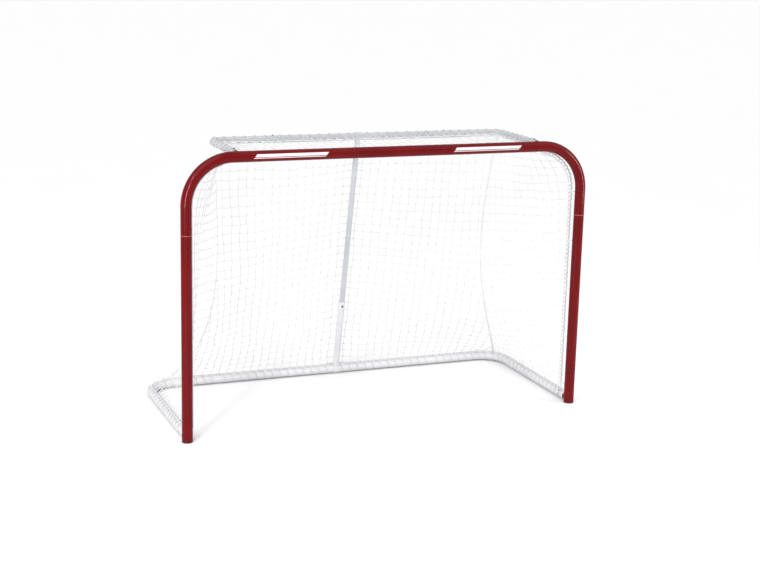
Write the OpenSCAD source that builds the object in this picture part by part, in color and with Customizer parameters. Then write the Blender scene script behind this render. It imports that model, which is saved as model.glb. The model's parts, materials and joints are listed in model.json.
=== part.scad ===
// Ice hockey goal: a bent tube front frame, a floor frame, a top shelf,
// a telescoping centre support, and a net laced to all of them.
// Origin: centre of the goal's footprint on the floor. +Y is towards the back of the goal.

/* [Front frame] */
// Clear width between the posts
mouth_w = 1829; // [1700:1:1900]
// Clear height under the crossbar
mouth_h = 1219; // [1150:1:1260]
// Outside diameter of the post and crossbar tube
post_d = 48.3; // [47:0.1:50.8]
// Wall thickness of the post and crossbar tube
post_wall = 2; // [1.5:0.1:2.5]
// Radius of the crossbar's two bends, on the tube's centre line
bend_r = 205; // [180:1:220]
// Height of the joint between each post and the crossbar
joint_h = 917; // [850:1:930]

/* [Floor frame] */
// Distance from the goal line to the rear floor rail, centre to centre
base_depth = 790; // [740:1:860]
// Outside diameter of the floor rails
base_d = 38.1; // [36:0.1:40]
// Wall thickness of the floor rails
base_wall = 1.6; // [1.2:0.1:2]
// Bend radius of the rear corners of the floor frame
base_corner_r = 130; // [110:1:150]
// Distance of the joints in the rear floor rail from the middle
base_joint_x = 600; // [500:1:640]

/* [Top shelf] */
// Distance from the goal line to the rear shelf rail, centre to centre
shelf_depth = 425; // [380:1:460]
// Distance of the side shelf rails from the middle
shelf_x = 715; // [690:1:725]
// Outside diameter of the shelf rails
shelf_d = 25.4; // [24:0.1:27]
// Wall thickness of the shelf rails
shelf_wall = 1.5; // [1.2:0.1:1.8]
// Bend radius of the rear corners of the shelf
shelf_corner_r = 38; // [35:1:60]
// Distance of the joints in the rear shelf rail from the middle
shelf_joint_x = 450; // [350:1:520]

/* [Centre support] */
// Outside diameter of the lower support tube
lower_d = 31.8; // [30:0.1:33]
// Wall thickness of the lower support tube
lower_wall = 3; // [2.9:0.05:3.1]
// Wall thickness of the upper support tube
upper_wall = 1.6; // [1.4:0.1:1.8]
// Place of the support's foot along the rear floor rail
foot_x = 35; // [-40:1:60]
// Place of the support's top along the rear shelf rail
top_x = -10; // [-60:1:60]
// Distance of the snap button from the floor rail, along the support
button_s = 374; // [330:1:420]

/* [Net] */
// Thickness that stands for the netting
net_t = 4; // [3:0.5:5]
// Diameter of the lacing cord
lace_d = 3.5; // [3:0.1:4]
// Distance of the lace bars from the centre line of the posts
lace_bar_off = 45; // [42:1:48]
// Diameter of the lace bars
lace_bar_d = 6.4; // [6:0.1:7]

/* [Hidden] */
$fn = 48;
post_r = post_d / 2;
post_x = mouth_w / 2 + post_r;
bar_z = mouth_h + post_r;
label_t = 0.4;
base_r = base_d / 2;
base_z = base_r + lace_d;
goal_y = -(base_depth + base_r + lace_d - post_r - label_t) / 2;
base_y = goal_y + base_depth;
shelf_r = shelf_d / 2;
shelf_y = goal_y + shelf_depth;
shelf_z = bar_z + post_r - shelf_r + 2;
straight_x = post_x - bend_r;
cap_t = 3;
plug_len = 22;
stub_wall = 2;
peg_d = 5;

// Clearance between a sleeve, stub or plug and the tube that it sits in
fit_gap = 0.15;
stub_len = 75;
base_start = goal_y + post_r + 10;
shelf_start = goal_y + post_r + 6;

// Lace bars lie behind the posts and towards the middle, at this angle from the goal line
lace_angle = 53;
lace_dx = lace_bar_off * cos(lace_angle);
lace_y = goal_y + lace_bar_off * sin(lace_angle);
lace_bar_low = 75;
top_lace_z = bar_z + 6;
top_lace_y = goal_y + post_r + 14;
lace_sleeve_r = lace_bar_d / 2 + lace_d;
net_gap = 1.5;

// Centre support: its axis runs from the rear floor rail to the rear shelf rail
foot = [foot_x, base_y, base_z];
crown = [top_x, shelf_y, shelf_z];
support_v = crown - foot;
support_len = norm(support_v);
support_tilt = atan2(norm([support_v.x, support_v.y]), support_v.z);
support_turn = atan2(support_v.y, support_v.x);
upper_d = lower_d - 2 * lower_wall - 2 * 0.2;
upper_bore_r = upper_d / 2 - upper_wall;
clamp_w = 34;
clamp_wall = 3;
stud_len = 60;
lower_end_s = button_s + 22;
upper_start_s = button_s - 110;
button_r = 4.2;
button_hole_r = 4.5;
button_out = 4;

// ---- Shared shapes ----

// Straight tube from z = 0 upwards
module tube(d, wall, len) {
    difference() {
        cylinder(d = d, h = len);
        translate([0, 0, -1]) cylinder(d = d - 2 * wall, h = len + 2);
    }
}

// Turns +Z to +X, +Y
module along_x() { rotate([0, 90, 0]) children(); }
module along_y() { rotate([-90, 0, 0]) children(); }

// Children drawn for the right side, and again mirrored to the left
module both_sides() {
    children();
    mirror([1, 0, 0]) children();
}

// Solid bar along a corner: from [x, y0] to the corner, round it, then to x1 at depth y
module corner_bar(d, x, y, r, y0, x1) {
    translate([x, y0, 0]) along_y() cylinder(d = d, h = y - r - y0);
    translate([x - r, y - r, 0]) rotate_extrude(angle = 90) translate([r, 0]) circle(d = d);
    translate([x1, y, 0]) along_x() cylinder(d = d, h = x - r - x1);
}

// Hollow rail round a corner, open at both ends
module corner_rail(d, wall, x, y, r, y0, x1) {
    difference() {
        corner_bar(d, x, y, r, y0, x1);
        corner_bar(d - 2 * wall, x, y, r, y0 - 1, x1 - 1);
    }
}

// Button-head bolt: its shank runs up from z = 0 and its head lies below
module bolt(d, len) {
    cylinder(d = d, h = len);
    mirror([0, 0, 1]) difference() {
        union() {
            cylinder(d = 1.75 * d, h = 0.3 * d);
            translate([0, 0, 0.3 * d]) cylinder(d1 = 1.75 * d, d2 = 1.05 * d, h = 0.25 * d, $fn = 32);
        }
        translate([0, 0, 0.25 * d]) cylinder(d = 0.65 * d, h = d, $fn = 6);
    }
}

// Hexagon nut standing on z = 0
module nut(d) {
    difference() {
        cylinder(d = 2 * d, h = 0.8 * d, $fn = 6);
        translate([0, 0, -1]) cylinder(d = d + 0.2, h = 2 * d);
    }
}

// ---- Front frame ----

module frame_bar(d, low) {
    translate([-straight_x, goal_y, bar_z]) along_x() cylinder(d = d, h = 2 * straight_x);
    both_sides() {
        translate([straight_x, goal_y, bar_z - bend_r]) rotate([90, 0, 0])
            rotate_extrude(angle = 90) translate([bend_r, 0]) circle(d = d);
        translate([post_x, goal_y, low]) cylinder(d = d, h = bar_z - bend_r - low);
    }
}

module crossbar() {
    color("firebrick") difference() {
        frame_bar(post_d, joint_h);
        frame_bar(post_d - 2 * post_wall, joint_h - 1);
    }
}

joint_bolt_z = joint_h - 40;
joint_bolt_d = 8;
sleeve_d = post_d - 2 * post_wall - 2 * fit_gap;
sleeve_wall = 2;
joint_sleeve_len = 150;
joint_sleeve_low = joint_h - 90;

module post(side) {
    color("firebrick") difference() {
        translate([side * post_x, goal_y, cap_t]) tube(post_d, post_wall, joint_h - cap_t);
        translate([side * post_x, goal_y, joint_bolt_z]) along_y()
            cylinder(d = joint_bolt_d + 0.4, h = post_r + 5);
    }
}

module joint_sleeve(side) {
    color("silver") difference() {
        translate([side * post_x, goal_y, joint_sleeve_low]) tube(sleeve_d, sleeve_wall, joint_sleeve_len);
        translate([side * post_x, goal_y, joint_bolt_z]) along_y()
            cylinder(d = joint_bolt_d + 0.2, h = post_r);
    }
}

module post_joint_bolts() {
    color("dimgray") both_sides()
        translate([post_x, goal_y + post_r, joint_bolt_z]) rotate([90, 0, 0]) bolt(joint_bolt_d, 14);
}

module end_cap(side) {
    color("black") translate([side * post_x, goal_y, 0]) difference() {
        union() {
            cylinder(d = post_d, h = cap_t);
            translate([0, 0, cap_t]) cylinder(d = sleeve_d, h = plug_len);
        }
        translate([0, 0, cap_t + 2]) cylinder(d = sleeve_d - 6, h = 40);
    }
}

// Short tube welded to the back of a post, which the floor rail slides over
module base_stub(side) {
    stub_d = base_d - 2 * base_wall - 2 * fit_gap;
    color("firebrick") difference() {
        translate([side * post_x, goal_y, base_z]) along_y() tube(stub_d, stub_wall, post_r + stub_len);
        translate([side * post_x, goal_y, -1]) cylinder(d = post_d, h = 100);
        translate([side * post_x - 40, base_bolt_y, base_z]) along_x()
            cylinder(d = base_bolt_d + 0.2, h = 80);
    }
}

// Short tube welded to the back of the crossbar, which the shelf rail slides over
module shelf_stub(side) {
    stub_d = shelf_d - 2 * shelf_wall - 2 * fit_gap;
    color("firebrick") difference() {
        translate([side * shelf_x, goal_y, shelf_z]) along_y() tube(stub_d, stub_wall, post_r + stub_len);
        translate([side * shelf_x - 50, goal_y, bar_z]) along_x() cylinder(d = post_d, h = 100);
        translate([side * shelf_x - 50, goal_y - 20, bar_z]) cube([100, 20 + 14, 60]);
        translate([side * shelf_x, shelf_bolt_y, shelf_z - 40]) cylinder(d = shelf_bolt_d + 0.2, h = 80);
    }
}

// Round rod behind a post and its bend, held off by short welded pegs
module lace_bar(side) {
    rod_r = lace_bar_d / 2;
    arc_r = bend_r - lace_dx;
    color("white") mirror([side < 0 ? 1 : 0, 0, 0]) {
        translate([post_x - lace_dx, lace_y, lace_bar_low])
            cylinder(r = rod_r, h = bar_z - bend_r - lace_bar_low);
        translate([straight_x, lace_y, bar_z - bend_r]) rotate([90, 0, 0])
            rotate_extrude(angle = 80) translate([arc_r, 0]) circle(r = rod_r);
        difference() {
            for (z = peg_heights) translate([post_x, goal_y, z]) rotate([0, 0, 180 - lace_angle])
                along_x() cylinder(d = peg_d, h = lace_bar_off);
            translate([post_x, goal_y, 0]) cylinder(d = post_d, h = bar_z);
        }
    }
}

peg_count = 5;
peg_span = bar_z - bend_r - lace_bar_low - 30;
peg_heights = [for (i = [0 : peg_count - 1]) lace_bar_low + 15 + i * peg_span / (peg_count - 1)];

top_peg_count = 6;
top_bar_half = shelf_x - shelf_r - 12;
top_peg_half = top_bar_half - 20;
top_peg_xs = [for (i = [0 : top_peg_count - 1]) top_peg_half * (2 * i / (top_peg_count - 1) - 1)];

module top_lace_bar() {
    color("white") {
        translate([-top_bar_half, top_lace_y, top_lace_z]) along_x()
            cylinder(d = lace_bar_d, h = 2 * top_bar_half);
        difference() {
            for (x = top_peg_xs) translate([x, goal_y, top_lace_z]) along_y()
                cylinder(d = peg_d, h = top_lace_y - goal_y);
            translate([-post_x, goal_y, bar_z]) along_x() cylinder(d = post_d, h = 2 * post_x);
        }
    }
}

label_len = 350;

// Degrees of the tube's girth that a label covers
label_arc = 80;
left_label_x = -483;
right_label_x = 443;

// Thin sticker wrapped on the front of the crossbar
module label(middle_x) {
    color("white") translate([middle_x - label_len / 2, goal_y, bar_z]) along_x()
        intersection() {
            difference() {
                cylinder(r = post_r + label_t, h = label_len);
                translate([0, 0, -1]) cylinder(r = post_r, h = label_len + 2);
            }
            rotate([0, 0, -90 - label_arc / 2]) rotate_extrude(angle = label_arc)
                square([post_d, label_len]);
        }
}

// ---- Floor frame ----

base_bolt_d = 8;
base_bolt_y = base_start + 35;
base_screw_d = 5;
base_screw_x = base_joint_x - 30;
base_sleeve_len = 140;

module base_corner(side) {
    color("gainsboro") mirror([side < 0 ? 1 : 0, 0, 0]) difference() {
        translate([0, 0, base_z])
            corner_rail(base_d, base_wall, post_x, base_y, base_corner_r, base_start, base_joint_x);
        translate([post_x - 40, base_bolt_y, base_z]) along_x() cylinder(d = base_bolt_d + 0.4, h = 80);
    }
}

module rear_base_rail() {
    color("gainsboro") difference() {
        translate([-base_joint_x, base_y, base_z]) along_x() tube(base_d, base_wall, 2 * base_joint_x);
        for (s = [-1, 1]) translate([s * base_screw_x, base_y, base_z])
            cylinder(d = base_screw_d + 0.4, h = base_d);
    }
}

module base_joint_sleeves() {
    d = base_d - 2 * base_wall - 2 * fit_gap;
    color("silver") both_sides() difference() {
        translate([base_joint_x - base_sleeve_len / 2, base_y, base_z]) along_x()
            tube(d, stub_wall, base_sleeve_len);
        translate([base_screw_x, base_y, base_z]) cylinder(d = base_screw_d + 0.2, h = base_d);
    }
}

module base_stub_bolts() {
    color("silver") both_sides()
        translate([post_x + base_r, base_bolt_y, base_z]) rotate([0, -90, 0]) bolt(base_bolt_d, base_d + 9);
}

module base_stub_nuts() {
    color("silver") both_sides()
        translate([post_x - base_r, base_bolt_y, base_z]) rotate([0, -90, 0]) nut(base_bolt_d);
}

module base_joint_screws() {
    color("silver") both_sides()
        translate([base_screw_x, base_y, base_z + base_r]) mirror([0, 0, 1]) bolt(base_screw_d, 10);
}

// ---- Top shelf ----

shelf_bolt_d = 6;
shelf_bolt_y = shelf_start + 22;
shelf_screw_d = 5;
shelf_screw_x = shelf_joint_x - 25;
shelf_sleeve_len = 120;

module shelf_corner(side) {
    color("lightgray") mirror([side < 0 ? 1 : 0, 0, 0]) difference() {
        translate([0, 0, shelf_z])
            corner_rail(shelf_d, shelf_wall, shelf_x, shelf_y, shelf_corner_r, shelf_start, shelf_joint_x);
        translate([shelf_x, shelf_bolt_y, shelf_z - 30]) cylinder(d = shelf_bolt_d + 0.4, h = 60);
    }
}

module rear_shelf_rail() {
    color("lightgray") difference() {
        translate([-shelf_joint_x, shelf_y, shelf_z]) along_x() tube(shelf_d, shelf_wall, 2 * shelf_joint_x);
        for (s = [-1, 1]) translate([s * shelf_screw_x, shelf_y, shelf_z])
            cylinder(d = shelf_screw_d + 0.4, h = shelf_d);
    }
}

module shelf_joint_sleeves() {
    d = shelf_d - 2 * shelf_wall - 2 * fit_gap;
    color("silver") both_sides() difference() {
        translate([shelf_joint_x - shelf_sleeve_len / 2, shelf_y, shelf_z]) along_x()
            tube(d, shelf_wall, shelf_sleeve_len);
        translate([shelf_screw_x, shelf_y, shelf_z]) cylinder(d = shelf_screw_d + 0.2, h = shelf_d);
    }
}

module shelf_stub_bolts() {
    color("dimgray") both_sides()
        translate([shelf_x, shelf_bolt_y, shelf_z + shelf_r]) mirror([0, 0, 1])
            bolt(shelf_bolt_d, shelf_d + 7);
}

module shelf_stub_nuts() {
    color("dimgray") both_sides()
        translate([shelf_x, shelf_bolt_y, shelf_z - shelf_r]) mirror([0, 0, 1]) nut(shelf_bolt_d);
}

module shelf_joint_screws() {
    color("dimgray") both_sides()
        translate([shelf_screw_x, shelf_y, shelf_z + shelf_r]) mirror([0, 0, 1]) bolt(shelf_screw_d, 8);
}

// ---- Centre support ----

// Local frame of the support: +Z runs up its axis from the foot, +X faces the goal mouth
module on_support(s) {
    translate(foot) rotate([0, support_tilt, support_turn]) translate([0, 0, s]) children();
}

screw_d = 5;
foot_screw_s = base_r + 32;
top_screw_s = support_len - shelf_r - 32;
foot_end_s = base_r + clamp_wall + 3;
top_end_s = support_len - shelf_r - clamp_wall - 3;
foot_stud_d = lower_d - 2 * lower_wall - 2 * fit_gap;
top_stud_d = 2 * upper_bore_r - 2 * fit_gap;

module support_lower_tube() {
    color("whitesmoke") difference() {
        on_support(foot_end_s) tube(lower_d, lower_wall, lower_end_s - foot_end_s);
        on_support(button_s) along_x() cylinder(r = button_hole_r, h = lower_d);
        on_support(foot_screw_s) along_x() cylinder(d = screw_d + 0.4, h = lower_d);
    }
}

module support_upper_tube() {
    color("gainsboro") difference() {
        on_support(upper_start_s) tube(upper_d, upper_wall, top_end_s - upper_start_s);
        on_support(button_s) along_x() cylinder(r = button_hole_r, h = lower_d);
        on_support(top_screw_s) along_x() cylinder(d = screw_d + 0.4, h = lower_d);
    }
}

// Ring round a rail with a hollow stud that a support tube slides over
module support_foot_clamp() {
    color("gainsboro") difference() {
        union() {
            translate([foot_x - clamp_w / 2, base_y, base_z]) along_x()
                cylinder(r = base_r + clamp_wall, h = clamp_w);
            on_support(0) cylinder(d = lower_d, h = foot_end_s);
            on_support(0) cylinder(d = foot_stud_d, h = base_r + stud_len);
        }
        translate([foot_x - clamp_w, base_y, base_z]) along_x() cylinder(r = base_r + 0.1, h = 2 * clamp_w);
        on_support(foot_end_s) cylinder(d = foot_stud_d - 6, h = stud_len);
        on_support(foot_screw_s) along_x() cylinder(d = screw_d + 0.2, h = lower_d);
    }
}

module support_top_clamp() {
    color("gainsboro") difference() {
        union() {
            translate([top_x - clamp_w / 2, shelf_y, shelf_z]) along_x()
                cylinder(r = shelf_r + clamp_wall, h = clamp_w);
            on_support(top_end_s) cylinder(d = upper_d, h = support_len - top_end_s);
            on_support(support_len - shelf_r - stud_len) cylinder(d = top_stud_d, h = shelf_r + stud_len);
        }
        translate([top_x - clamp_w, shelf_y, shelf_z]) along_x() cylinder(r = shelf_r + 0.1, h = 2 * clamp_w);
        on_support(top_end_s - stud_len) cylinder(d = top_stud_d - 6, h = stud_len);
        on_support(top_screw_s) along_x() cylinder(d = screw_d + 0.2, h = lower_d);
    }
}

module support_screws() {
    color("silver") {
        on_support(foot_screw_s) translate([lower_d / 2, 0, 0]) rotate([0, -90, 0]) bolt(screw_d, 8);
        on_support(top_screw_s) translate([upper_d / 2, 0, 0]) rotate([0, -90, 0]) bolt(screw_d, 6);
    }
}

flange_r = 6.5;
flange_t = 1.5;
flange_out = sqrt(upper_bore_r * upper_bore_r - flange_r * flange_r) - 0.5;

// Sprung pin that locks the two support tubes together
module snap_button() {
    tip = lower_d / 2 + button_out;
    color("dimgray") on_support(button_s) along_x() rotate_extrude() polygon([
        [0, flange_out - flange_t], [flange_r, flange_out - flange_t], [flange_r, flange_out],
        [button_r, flange_out], [button_r, tip - 1], [button_r - 1, tip], [0, tip]
    ]);
}

spring_t = 0.8;
spring_w = 10;
spring_drop = 62;

// V-shaped leaf spring: one leg lies on the back of the tube, the other under the button
module button_spring() {
    front_x = flange_out - flange_t;
    back_x = -sqrt(upper_bore_r * upper_bore_r - spring_w * spring_w / 4) + 0.3;
    color("silver") on_support(button_s) translate([0, spring_w / 2, 0]) rotate([90, 0, 0])
        linear_extrude(spring_w) polygon([
            [front_x, flange_r], [front_x - spring_t, flange_r], [front_x - spring_t, -flange_r],
            [0.8, -spring_drop + 2], [-0.8, -spring_drop + 2], [back_x + spring_t, flange_r],
            [back_x, flange_r], [-1.5, -spring_drop], [1.5, -spring_drop], [front_x, -flange_r]
        ]);
}

// ---- Net ----

function lerp(a, b, t) = a + (b - a) * t;

// A net hangs nearly straight from the shelf, bows back a little, then flares out to the floor rails
side_flare = 5;
rear_flare = 7;
pull_in = 35;
hang_back = 65;
seam_low_z = base_z + base_r + lace_d + net_gap + 1;
seam_top_z = shelf_z - shelf_r - lace_d - net_gap - 1;
corner_in = 1 - cos(45);

// Seam between a side net and the back net; t runs from 0 at the floor to 1 at the shelf
function seam(t) = [
    lerp(shelf_x - corner_in * shelf_corner_r, post_x - corner_in * base_corner_r, pow(1 - t, side_flare))
        - pull_in * sin(180 * t),
    lerp(shelf_y - corner_in * shelf_corner_r, base_y - corner_in * base_corner_r, pow(1 - t, rear_flare))
        + hang_back * sin(180 * t),
    lerp(seam_low_z, seam_top_z, t)
];

// Line just behind the centre support, where the back net leans on it
ridge_off = lower_d / 2 + net_t + 4;
function ridge(t) = [
    lerp(foot_x, top_x, t),
    lerp(base_y, shelf_y, (lerp(seam_low_z, seam_top_z, t) - base_z) / (shelf_z - base_z)) + ridge_off,
    lerp(seam_low_z, seam_top_z, t)
];

// Front edge of a side net: up the lace bar, then round the bend
arc_share = 0.22;
front_r = bend_r - lace_dx - lace_sleeve_r - net_gap - net_t;
function front_edge(t) =
    let (a = max(0, (t - 1 + arc_share) / arc_share) * 75, low = seam_low_z + 20)
    [
        straight_x + front_r * cos(a),
        lace_y + 8,
        t < 1 - arc_share ? lerp(low, bar_z - bend_r, t / (1 - arc_share)) : bar_z - bend_r + front_r * sin(a)
    ];

function flat(grid) = [for (row = grid) for (p = row) p];
function shifted(grid, v) = [for (row = grid) [for (p = row) p + v]];
function flipped(grid) = [for (row = grid) [for (p = row) [-p.x, p.y, p.z]]];

// Closed slab between two grids of points of the same size
module sheet(outer, inner) {
    rows = len(outer);
    cols = len(outer[0]);
    n = rows * cols;
    last_r = rows - 1;
    last_c = cols - 1;
    polyhedron(
        points = concat(flat(outer), flat(inner)),
        faces = concat(
            [for (r = [0 : last_r - 1], c = [0 : last_c - 1]) let (i = r * cols + c) each [
                [i, i + 1, i + cols + 1], [i, i + cols + 1, i + cols],
                [n + i, n + i + cols + 1, n + i + 1], [n + i, n + i + cols, n + i + cols + 1]
            ]],
            [for (c = [0 : last_c - 1]) let (i = c, j = last_r * cols + c) each [
                [i, n + i, n + i + 1], [i, n + i + 1, i + 1],
                [j, j + 1, n + j + 1], [j, n + j + 1, n + j]
            ]],
            [for (r = [0 : last_r - 1]) let (i = r * cols, j = i + last_c) each [
                [i, i + cols, n + i + cols], [i, n + i + cols, n + i],
                [j, n + j, n + j + cols], [j, n + j + cols, j + cols]
            ]]
        )
    );
}

net_rows = 16;
edge_gap = 0.015;

side_grid = [for (r = [0 : net_rows]) let (t = r / net_rows)
    [for (c = [0 : 4]) lerp(front_edge(t), seam(t), lerp(0, 1 - edge_gap, c / 4))]];

module side_net(side) {
    color("white") if (side > 0)
        sheet(side_grid, shifted(side_grid, [-net_t, 0, 0]));
    else
        sheet(shifted(flipped(side_grid), [net_t, 0, 0]), flipped(side_grid));
}

// Half of the back net at height t, from the seam (c = 0) to the ridge (c = 1)
function back_row(side, t, c) =
    let (s = seam(t), edge = [side * s.x, s.y, s.z])
    lerp(edge, ridge(t), lerp(edge_gap, 1, c));

half_cols = 4;
back_grid = [for (r = [0 : net_rows]) let (t = r / net_rows) concat(
    [for (c = [0 : half_cols]) back_row(-1, t, c / half_cols)],
    [for (c = [half_cols - 1 : -1 : 0]) back_row(1, t, c / half_cols)]
)];

module back_net() {
    color("white") sheet(shifted(back_grid, [0, net_t, 0]), back_grid);
}

module top_net() {
    side_gap = shelf_r + lace_d + net_gap;
    half_w = shelf_x - side_gap;
    front_y = top_lace_y + lace_sleeve_r + net_gap;
    back_edge = shelf_y - side_gap;
    r = shelf_corner_r - side_gap;
    color("white") translate([0, 0, shelf_z - net_t / 2]) linear_extrude(net_t) difference() {
        translate([-half_w, front_y]) square([2 * half_w, back_edge - front_y]);
        for (s = [-1, 1]) translate([s * (half_w - r), back_edge - r]) difference() {
            translate([s > 0 ? 0 : -r - 1, 0]) square([r + 1, r + 1]);
            circle(r = r);
        }
    }
}

seam_cord_d = 6;
cord_sides = 8;
cord_rings = 24;

// Border rope along the seam
module seam_cord(side) {
    pts = [for (r = [0 : cord_rings]) let (p = seam(r / cord_rings)) for (k = [0 : cord_sides - 1])
        [side * p.x + seam_cord_d / 2 * cos(360 * k / cord_sides),
         p.y + seam_cord_d / 2 * sin(360 * k / cord_sides), p.z]];
    walls = [for (r = [0 : cord_rings - 1], k = [0 : cord_sides - 1])
        let (i = r * cord_sides + k, j = r * cord_sides + (k + 1) % cord_sides)
        each [[i, i + cord_sides, j + cord_sides], [i, j + cord_sides, j]]];
    top = cord_rings * cord_sides;
    color("white") polyhedron(points = pts, faces = concat(walls,
        [[for (k = [0 : cord_sides - 1]) k]], [[for (k = [cord_sides - 1 : -1 : 0]) top + k]]));
}

// ---- Lacing: thin sleeves with the outer shape of the wound cord ----

sleeve_gap = 0.2;
solid_gap = 1;

module lace_tube(r, len) {
    difference() {
        cylinder(r = r + lace_d, h = len);
        translate([0, 0, -1]) cylinder(r = r + sleeve_gap, h = len + 2);
    }
}

// Sleeve round one corner of a rail
module lace_corner(r, corner_r) {
    rotate_extrude(angle = 90) translate([corner_r, 0]) difference() {
        circle(r = r + lace_d);
        circle(r = r + sleeve_gap);
    }
}

module lace_run_x(r, x0, x1) { translate([x0, 0, 0]) along_x() lace_tube(r, x1 - x0); }
module lace_run_y(r, y0, y1) { translate([0, y0, 0]) along_y() lace_tube(r, y1 - y0); }

module base_lacing() {
    bolt_gap = 14;
    clamp_gap = clamp_w / 2 + 3;
    corner_x = post_x - base_corner_r;
    corner_y = base_y - base_corner_r;
    color("white") {
        both_sides() {
            translate([post_x, 0, base_z])
                lace_run_y(base_r, base_bolt_y + bolt_gap, corner_y - solid_gap);
            translate([corner_x, corner_y, base_z]) lace_corner(base_r, base_corner_r);
            translate([0, base_y, base_z]) lace_run_x(base_r, base_screw_x + bolt_gap, corner_x - solid_gap);
        }
        translate([0, base_y, base_z]) {
            lace_run_x(base_r, -base_screw_x + bolt_gap, foot_x - clamp_gap);
            lace_run_x(base_r, foot_x + clamp_gap, base_screw_x - bolt_gap);
        }
    }
}

module shelf_lacing() {
    bolt_gap = 12;
    clamp_gap = clamp_w / 2 + 3;
    corner_x = shelf_x - shelf_corner_r;
    corner_y = shelf_y - shelf_corner_r;
    color("white") {
        both_sides() {
            translate([shelf_x, 0, shelf_z]) lace_run_y(shelf_r, shelf_bolt_y + bolt_gap, corner_y);
            translate([corner_x, corner_y, shelf_z]) lace_corner(shelf_r, shelf_corner_r);
            translate([0, shelf_y, shelf_z]) lace_run_x(shelf_r, shelf_screw_x + bolt_gap, corner_x);
        }
        translate([0, shelf_y, shelf_z]) {
            lace_run_x(shelf_r, -shelf_screw_x + bolt_gap, top_x - clamp_gap);
            lace_run_x(shelf_r, top_x + clamp_gap, shelf_screw_x - bolt_gap);
        }
    }
}

peg_gap = 5;

module post_lacing(side) {
    rod_r = lace_bar_d / 2;
    color("white") for (i = [0 : peg_count - 2])
        translate([side * (post_x - lace_dx), lace_y, peg_heights[i] + peg_gap])
            lace_tube(rod_r, peg_heights[i + 1] - peg_heights[i] - 2 * peg_gap);
}

module crossbar_lacing() {
    color("white") translate([0, top_lace_y, top_lace_z]) for (i = [0 : top_peg_count - 2])
        lace_run_x(lace_bar_d / 2, top_peg_xs[i] + peg_gap, top_peg_xs[i + 1] - peg_gap);
}

post(-1);  // left_post
post(1);  // right_post
crossbar();
joint_sleeve(-1);  // left_joint_sleeve
joint_sleeve(1);  // right_joint_sleeve
post_joint_bolts();
end_cap(-1);  // left_end_cap
end_cap(1);  // right_end_cap
base_stub(-1);  // left_base_stub
base_stub(1);  // right_base_stub
shelf_stub(-1);  // left_shelf_stub
shelf_stub(1);  // right_shelf_stub
lace_bar(-1);  // left_lace_bar
lace_bar(1);  // right_lace_bar
top_lace_bar();
label(left_label_x);  // left_label
label(right_label_x);  // right_label
base_corner(-1);  // left_base_rail
base_corner(1);  // right_base_rail
rear_base_rail();
base_joint_sleeves();
base_stub_bolts();
base_stub_nuts();
base_joint_screws();
shelf_corner(-1);  // left_shelf_rail
shelf_corner(1);  // right_shelf_rail
rear_shelf_rail();
shelf_joint_sleeves();
shelf_stub_bolts();
shelf_stub_nuts();
shelf_joint_screws();
support_lower_tube();
support_upper_tube();
support_foot_clamp();
support_top_clamp();
support_screws();
snap_button();
button_spring();
back_net();
side_net(-1);  // left_side_net
side_net(1);  // right_side_net
top_net();
seam_cord(-1);  // left_seam_cord
seam_cord(1);  // right_seam_cord
base_lacing();
shelf_lacing();
post_lacing(-1);  // left_post_lacing
post_lacing(1);  // right_post_lacing
crossbar_lacing();
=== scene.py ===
"""Ice hockey goal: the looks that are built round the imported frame.

The tubes, bolts and clamps are the frame's own nodes and get their finishes here. The netting, its
border ropes, the lacing and the weld beads are surfaces worked out with numpy. Lengths are in metres.
"""
import json
import logging
import math
from dataclasses import dataclass, field
from enum import Enum
from typing import Callable, Sequence

import bpy
import numpy as np
from mathutils import Matrix, Vector


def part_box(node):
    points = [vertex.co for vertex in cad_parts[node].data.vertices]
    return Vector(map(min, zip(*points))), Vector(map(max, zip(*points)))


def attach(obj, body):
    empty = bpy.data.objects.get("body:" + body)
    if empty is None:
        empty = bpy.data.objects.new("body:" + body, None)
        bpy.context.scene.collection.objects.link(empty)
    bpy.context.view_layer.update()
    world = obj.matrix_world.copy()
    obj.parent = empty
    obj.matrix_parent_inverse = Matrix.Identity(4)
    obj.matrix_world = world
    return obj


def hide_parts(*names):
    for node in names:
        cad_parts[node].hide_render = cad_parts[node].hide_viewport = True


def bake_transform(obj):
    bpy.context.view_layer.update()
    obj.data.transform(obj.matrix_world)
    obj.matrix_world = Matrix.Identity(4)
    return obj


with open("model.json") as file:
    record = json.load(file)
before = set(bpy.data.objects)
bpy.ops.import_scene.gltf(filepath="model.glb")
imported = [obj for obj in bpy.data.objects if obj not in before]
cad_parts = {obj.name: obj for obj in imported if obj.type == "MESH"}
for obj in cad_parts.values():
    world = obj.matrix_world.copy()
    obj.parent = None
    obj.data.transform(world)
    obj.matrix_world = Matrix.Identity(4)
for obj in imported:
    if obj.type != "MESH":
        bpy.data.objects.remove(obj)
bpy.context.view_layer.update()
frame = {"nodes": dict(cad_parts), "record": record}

BODY = "goal"
SEED = 7
log = logging.getLogger("goal")

Points = np.ndarray
Colour = tuple[float, float, float]
Span = tuple[float, float]
Border = Callable[[Points], Points]


# ---------------------------------------------------------------- mesh making

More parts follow.
